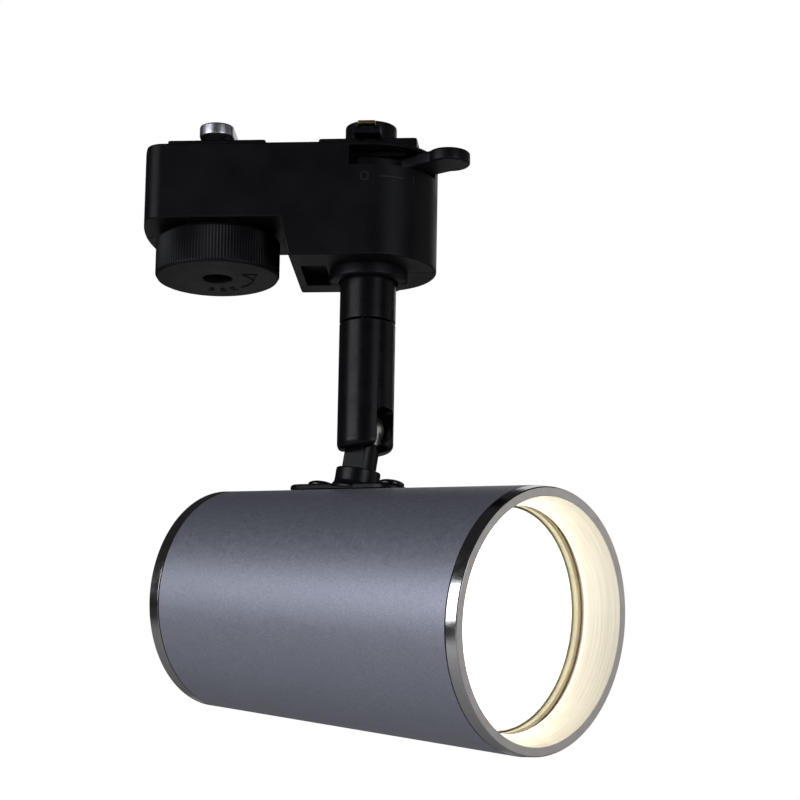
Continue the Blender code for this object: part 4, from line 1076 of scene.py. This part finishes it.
def on_slot_rim(edge):
    """An edge on the outside of the tube, where the slot comes through."""
    for vert in edge.verts:
        radius = math.hypot(vert.co.x, vert.co.y)
        if vert.co.z > -50 * MM or radius < STEM_RADIUS - 1.2 * MM:
            return False
        if abs(vert.co.y) > SLOT_WIDTH / 2 + 0.01 * MM:
            return False
    return True


def tilt_screw():
    seat = Matrix.Translation((0, TILT_SCREW_SEAT + GAP, PIVOT_Z))
    matrix = STEM @ seat @ Matrix.Rotation(-math.pi / 2, 4, "X")
    cross_screw("tilt_screw", "stem", matrix, 2.4 * MM, 1.4 * MM, 1.5 * MM, 8.6 * MM)


# ---------------------------------------------------------------- tilt knuckle
def head_cone(clearance):
    """The head's outside as a tool, in the head's own frame."""
    extra = clearance / math.cos(TAPER)
    narrow, wide = shell_radius(REAR) + extra, shell_radius(FRONT) + extra
    return turned([(0, REAR), (narrow, REAR), (wide, FRONT), (0, FRONT)], HEAD_SIDES)


def tongue_disc():
    """The tongue's round top, turned about the tilt axis, with rounded edges."""
    half, edge = TONGUE_HALF_WIDTH, TONGUE_ROUNDING
    flat = TONGUE_RADIUS - edge
    profile = [(0, -half), *arc(flat, edge - half, edge, -90, 0, 6)]
    profile += [*arc(flat, half - edge, edge, 0, 90, 6), (0, half)]
    return moved(turned(profile), Matrix.Rotation(math.pi / 2, 4, "X"))


def plate_outline():
    """The saddle plate from above: a bar with round ends, longer behind than in front."""
    round_end = PLATE_WIDTH / 2
    front = arc(PLATE_FRONT - round_end, 0, round_end, -90, 90, 24)
    rear = arc(round_end - PLATE_REAR, 0, round_end, 90, 270, 24)
    return front + rear


def plate_screw_hole(side, to_saddle):
    return moved(slab(circle(side * PLATE_SCREW_X, 0, PLATE_SCREW_HOLE), -4 * MM, 4 * MM), to_saddle)


def tilt_knuckle():
    """Tongue, round base and saddle plate in one casting."""
    half = TONGUE_HALF_WIDTH
    neck = box_outline(-2 * TONGUE_RADIUS, 2 * TONGUE_RADIUS, BASE_TOP - MM, 0)
    knuckle = as_object("knuckle", slab(neck, -half, half, along="Y"), TILT)
    plate_top = SADDLE_Z + PLATE_THICKNESS
    foot = BASE_RADIUS + 0.9 * MM
    base = [(0, plate_top - 0.8 * MM), (foot, plate_top - 0.8 * MM), (foot, plate_top - 0.4 * MM)]
    # A hollow curve from the plate up to the base's side
    for out, up in ((0.55, -0.05), (0.22, 0.35), (0.05, 0.75), (0, 1.2)):
        base.append((BASE_RADIUS + out * MM, plate_top + up * MM))
    base += [(BASE_RADIUS, BASE_TOP, 0.5 * MM), (0, BASE_TOP)]
    to_saddle = TILT.inverted() @ SADDLE
    to_head = TILT.inverted() @ HEAD
    plate = slab(plate_outline(), -1.2 * MM, PLATE_THICKNESS, 0.4 * MM)
    channel = box_outline(-2 * TONGUE_RADIUS, LEAD_X + 0.65 * MM, -1.7 * MM, 1.7 * MM)
    steps = [("INTERSECT", rod(TONGUE_RADIUS, BASE_TOP - 5 * MM, 5 * MM, 64))]
    steps += plus(tongue_disc(), turned(rounded(base, 0, closed=False), 96), moved(plate, to_saddle))
    steps += less(
        moved(head_cone(GAP), to_head),
        slab(channel, BASE_TOP - 0.6 * MM, 2 * TONGUE_RADIUS),
        slab(circle(LEAD_X, 0, 1.9 * MM), 2 * SADDLE_Z, BASE_TOP + MM),
        slab(circle(0, 0, THREE_MM_HOLE), -2 * half, 2 * half, along="Y"),
    )
    for side in (-1, 1):
        steps += less(plate_screw_hole(side, to_saddle))
    for step in steps:
        boolean(knuckle, [step])
    ease(knuckle, 0.35 * MM, sharper_than=35, steps=3, wanted=on_tongue)
    finished("knuckle_casting", knuckle, "head", ["tilt_knuckle"], "black_paint", [bare_knuckle])


def on_tongue(edge):
    return min(vert.co.z for vert in edge.verts) > BASE_TOP


def plate_screws():
    for name, side in (("rear", -1), ("front", 1)):
        matrix = SADDLE @ Matrix.Translation((side * PLATE_SCREW_X, 0, PLATE_THICKNESS + GAP))
        matrix = matrix @ Matrix.Rotation(math.radians(30 + 40 * side), 4, "Z")
        cross_screw(f"plate_screw_{name}", "head", matrix, 3.05 * MM, 1.3 * MM, 1.55 * MM, 6.5 * MM)


# ---------------------------------------------------------------- lamp head
def head_shell():
    front, rear = FRONT - FRONT_BAND - GAP / 2, REAR + REAR_BAND + GAP / 2
    profile = [(shell_radius(rear), rear, 0.12 * MM), (shell_radius(front), front, 0.12 * MM)]
    profile += [(shell_radius(front) - SHELL_WALL, front), (shell_radius(rear) - SHELL_WALL, rear)]
    shell = as_object("shell", turned(rounded(profile, 0), HEAD_SIDES), HEAD)
    to_saddle, to_tilt = HEAD.inverted() @ SADDLE, HEAD.inverted() @ TILT
    holes = [plate_screw_hole(side, to_saddle) for side in (-1, 1)]
    leads = slab(circle(LEAD_X, 0, 2.5 * MM), SADDLE_Z - 4 * MM, SADDLE_Z + 4 * MM)
    cut(shell, *holes, moved(leads, to_tilt))
    finished("shell_painted", shell, "head", ["head_shell"], "silver_paint")


def front_bezel():
    band_rear = FRONT - FRONT_BAND + GAP / 2
    spigot_rear = LAMP_FACE - 0.5 * MM
    spigot_wide = shell_radius(band_rear) - SHELL_WALL - GAP
    spigot_narrow = shell_radius(spigot_rear) - SHELL_WALL - GAP
    lip, inner = FRONT - LIP_DEPTH, 26.5 * MM
    lip_rear = lip - 0.6 * MM
    face_edge = FRONT_RADIUS - 0.4 * MM
    profile = [(APERTURE_RADIUS, FRONT, 0.15 * MM), (face_edge, FRONT, 0.1 * MM)]
    profile += [(FRONT_RADIUS - 0.16 * MM, FRONT - 0.25 * MM, 0.1 * MM), (FRONT_RADIUS, band_rear, 0.12 * MM)]
    profile += [(spigot_wide, band_rear), (spigot_narrow, spigot_rear), (inner, spigot_rear)]
    profile += [(inner, lip_rear), (LIP_RADIUS, lip_rear, 0.12 * MM), (LIP_RADIUS, lip, 0.12 * MM)]
    bezel = as_object("bezel", turned(rounded(profile, 0), HEAD_SIDES), HEAD)

    def choose(face):
        """Polished band outside, satin face in front, reflecting cone inside."""
        radius = math.hypot(face.center.x, face.center.y)
        if face.normal.z > 0.9 and radius > APERTURE_RADIUS - 0.1 * MM:
            return 1
        return 0 if radius > APERTURE_RADIUS + 0.5 * MM else 2

    finishes = [band_metal, face_metal, lamp_tinted_cone]
    finished("bezel_turned", bezel, "head", ["front_bezel"], "polished_aluminium", finishes, choose)


def centring_ring():
    front, rear = FRONT - RING_DEPTH, LAMP_FACE - 0.4 * MM
    inner, outer = LAMP_RADIUS + 0.25 * MM, 26.2 * MM
    profile = rounded([(inner, rear), (outer, rear), (outer, front), (inner, front, 0.4 * MM)], 0.1 * MM)
    ring = as_object("ring", turned(profile, HEAD_SIDES), HEAD)
    finished("ring_moulded", ring, "head", ["centring_ring"], "silicone")


VENTS = 8
VENT_RADIUS = 13.5 * MM  # to the middle of each vent
VENT_LENGTH = 11 * MM
VENT_WIDTH = 2.2 * MM


def rear_cap():
    band_front = REAR + REAR_BAND - GAP / 2
    spigot_front, spigot_outer, spigot_inner = REAR + 9 * MM, 23.3 * MM, 22 * MM
    profile = [(0, REAR), (24.7 * MM, REAR, 0.1 * MM), (25.06 * MM, REAR + 0.3 * MM, 0.1 * MM)]
    profile += [(REAR_RADIUS, band_front, 0.12 * MM), (spigot_outer, band_front)]
    profile += [(spigot_outer, spigot_front), (spigot_inner, spigot_front)]
    profile += [(spigot_inner, REAR + 1.6 * MM), (0, REAR + 1.6 * MM)]
    cap = as_object("cap", turned(rounded(profile, 0, closed=False), HEAD_SIDES), HEAD)
    vents = []
    for vent in range(VENTS):
        outline = [(VENT_RADIUS + x, y) for x, y in stadium(VENT_LENGTH, VENT_WIDTH, 10)]
        turn = Matrix.Rotation(math.tau * (vent + 0.5) / VENTS, 4, "Z")
        vents.append(moved(slab(outline, REAR - MM, REAR + 3 * MM), turn))
    cut(cap, *vents)

    def choose(face):
        """Satin on the flat rear face, polished elsewhere."""
        return 1 if face.normal.z < -0.9 and face.center.z < REAR + 0.05 * MM else 0

    finishes = [band_metal, face_metal]
    finished("cap_turned", cap, "head", ["rear_cap"], "polished_aluminium", finishes, choose)


def lamp_front():
    """The lamp's body with its rolled rim, and the opal disc set into it."""
    outside = [(25, 0, 0.35), (25, 3), (23.8, 8), (20.5, 20), (14, 35), (11.4, 38.5)]
    inside = [(10.2, 38.5), (12.8, 34.4), (19.3, 19.6), (22.5, 8), (23.6, 3)]
    points = [*outside, *inside, (23.6, 1.6), (24.7, 1.6), (24.7, 0, 0.1)]
    profile = [(p[0] * MM, LAMP_FACE - p[1] * MM, *(r * MM for r in p[2:])) for p in points]
    body = as_object("lamp", turned(rounded(profile, 0), HEAD_SIDES), HEAD)
    finished("lamp_body", body, "lamp", ["lamp_shell"], "white_plastic")
    disc = [(0, LAMP_FACE - 1.3 * MM), (24.4 * MM, LAMP_FACE - 1.3 * MM), (24.4 * MM, LAMP_FACE, 0.3 * MM)]
    opal = as_object("opal", turned(rounded([*disc, (0, LAMP_FACE)], 0, closed=False), HEAD_SIDES), HEAD)
    finished("lamp_opal", opal, "lamp", ["lamp_diffuser"], "diffuser")


# ---------------------------------------------------------------- hidden CAD nodes
def refine_hidden_nodes():
    """The nodes that stay take the finish of their own slot."""
    slots = {part["node"]: part["material_slot"] for part in frame["record"]["subparts"]}
    for node, item in frame["nodes"].items():
        if item.hide_render:
            continue
        for place in item.material_slots:
            place.material = SLOT_FINISH[slots[node]]


# ---------------------------------------------------------------- studio
CAMERA_PLACE = Vector((118.565, -992.887, -340.161)) * MM
CAMERA_YAW = math.radians(-5.3507)
CAMERA_PITCH = math.radians(15.7956)
CAMERA_ROLL = math.radians(1.0241)
FOCAL_LENGTH = 202.5
FLOOR_Z = -0.5
ROOM_BRIGHTNESS = 0.03


def camera():
    data = bpy.data.cameras.new("camera")
    data.lens = FOCAL_LENGTH
    data.sensor_width = 36
    data.clip_start = 0.05
    data.clip_end = 20
    made = put("camera", data)
    flat = math.cos(CAMERA_PITCH)
    ahead = Vector((math.sin(CAMERA_YAW) * flat, math.cos(CAMERA_YAW) * flat, math.sin(CAMERA_PITCH)))
    level = Vector((math.cos(CAMERA_YAW), -math.sin(CAMERA_YAW), 0))
    upright = level.cross(ahead)
    right = level * math.cos(CAMERA_ROLL) + upright * math.sin(CAMERA_ROLL)
    up = upright * math.cos(CAMERA_ROLL) - level * math.sin(CAMERA_ROLL)
    made.matrix_world = axes(CAMERA_PLACE, right, up, -ahead)
    bpy.context.scene.camera = made


def softbox(name, azimuth, elevation, distance, width, height, power, colour=(1, 1, 1)):
    """An area light aimed at the object. Azimuth 0 is in front, and 90 is at the right."""
    low, high = cad_box
    centre = (Vector(low) + Vector(high)) / 2
    a, e = math.radians(azimuth), math.radians(elevation)
    back = Vector((math.sin(a) * math.cos(e), -math.cos(a) * math.cos(e), math.sin(e)))
    data = bpy.data.lights.new(name, "AREA")
    data.shape = "RECTANGLE"
    data.size = width
    data.size_y = height
    data.energy = power
    data.color = colour
    made = put(name, data)
    made.location = centre + back * distance
    made.rotation_euler = (-back).to_track_quat("-Z", "Y").to_euler()


def floor():
    bm = bmesh.new()
    bmesh.ops.create_grid(bm, x_segments=1, y_segments=1, size=4)
    made = as_object("floor", bm, Matrix.Translation((0, 0, FLOOR_Z)))
    finish = Finish("floor_paper", (0.86, 0.86, 0.86), 0.7)
    finish.colour(finish.mixed(finish.patches(2), (0.85, 0.85, 0.85), (0.88, 0.88, 0.88)))
    made.data.materials.append(finish.material)


def surroundings():
    """White behind the object, and a dimmer room for its reflections."""
    world = bpy.data.worlds.new("studio")
    bpy.context.scene.world = world
    world.use_nodes = True
    tree = world.node_tree
    tree.nodes.clear()
    seen = tree.nodes.new("ShaderNodeBackground")
    seen.inputs["Color"].default_value = (1, 1, 1, 1)
    room = tree.nodes.new("ShaderNodeBackground")
    room.inputs["Color"].default_value = (0.95, 0.97, 1, 1)
    room.inputs["Strength"].default_value = ROOM_BRIGHTNESS
    path = tree.nodes.new("ShaderNodeLightPath")
    mix = tree.nodes.new("ShaderNodeMixShader")
    output = tree.nodes.new("ShaderNodeOutputWorld")
    tree.links.new(path.outputs["Is Camera Ray"], mix.inputs["Fac"])
    tree.links.new(room.outputs["Background"], mix.inputs[1])
    tree.links.new(seen.outputs["Background"], mix.inputs[2])
    tree.links.new(mix.outputs["Shader"], output.inputs["Surface"])


def studio():
    surroundings()
    floor()
    softbox("window", -51, 6, 1.2, 0.95, 0.55, 9, (0.9, 0.93, 1))
    softbox("wall", -84, -32, 1.3, 1.2, 0.8, 0.08)
    softbox("fill", 42, 0, 1.2, 0.5, 0.6, 4.6, (0.9, 0.93, 1))
    softbox("right", 102, 5, 1.2, 0.8, 0.6, 0.9)
    softbox("paper", 174, -18, 1.5, 1.8, 0.8, 0.9, (1, 0.96, 0.92))
    softbox("back", 165, 30, 1.5, 1.0, 0.8, 2)
    bpy.context.scene.view_settings.view_transform = "Standard"


camera()
housing_halves()
switch_marks()
shell_screws()
contact_lever()
contact_blades()
lock_knob()
lock_cam()
knob_screw()
knob_washer()
stem_sleeve()
stem_tube()
tilt_screw()
tilt_knuckle()
plate_screws()
head_shell()
front_bezel()
centring_ring()
rear_cap()
lamp_front()
refine_hidden_nodes()
studio()
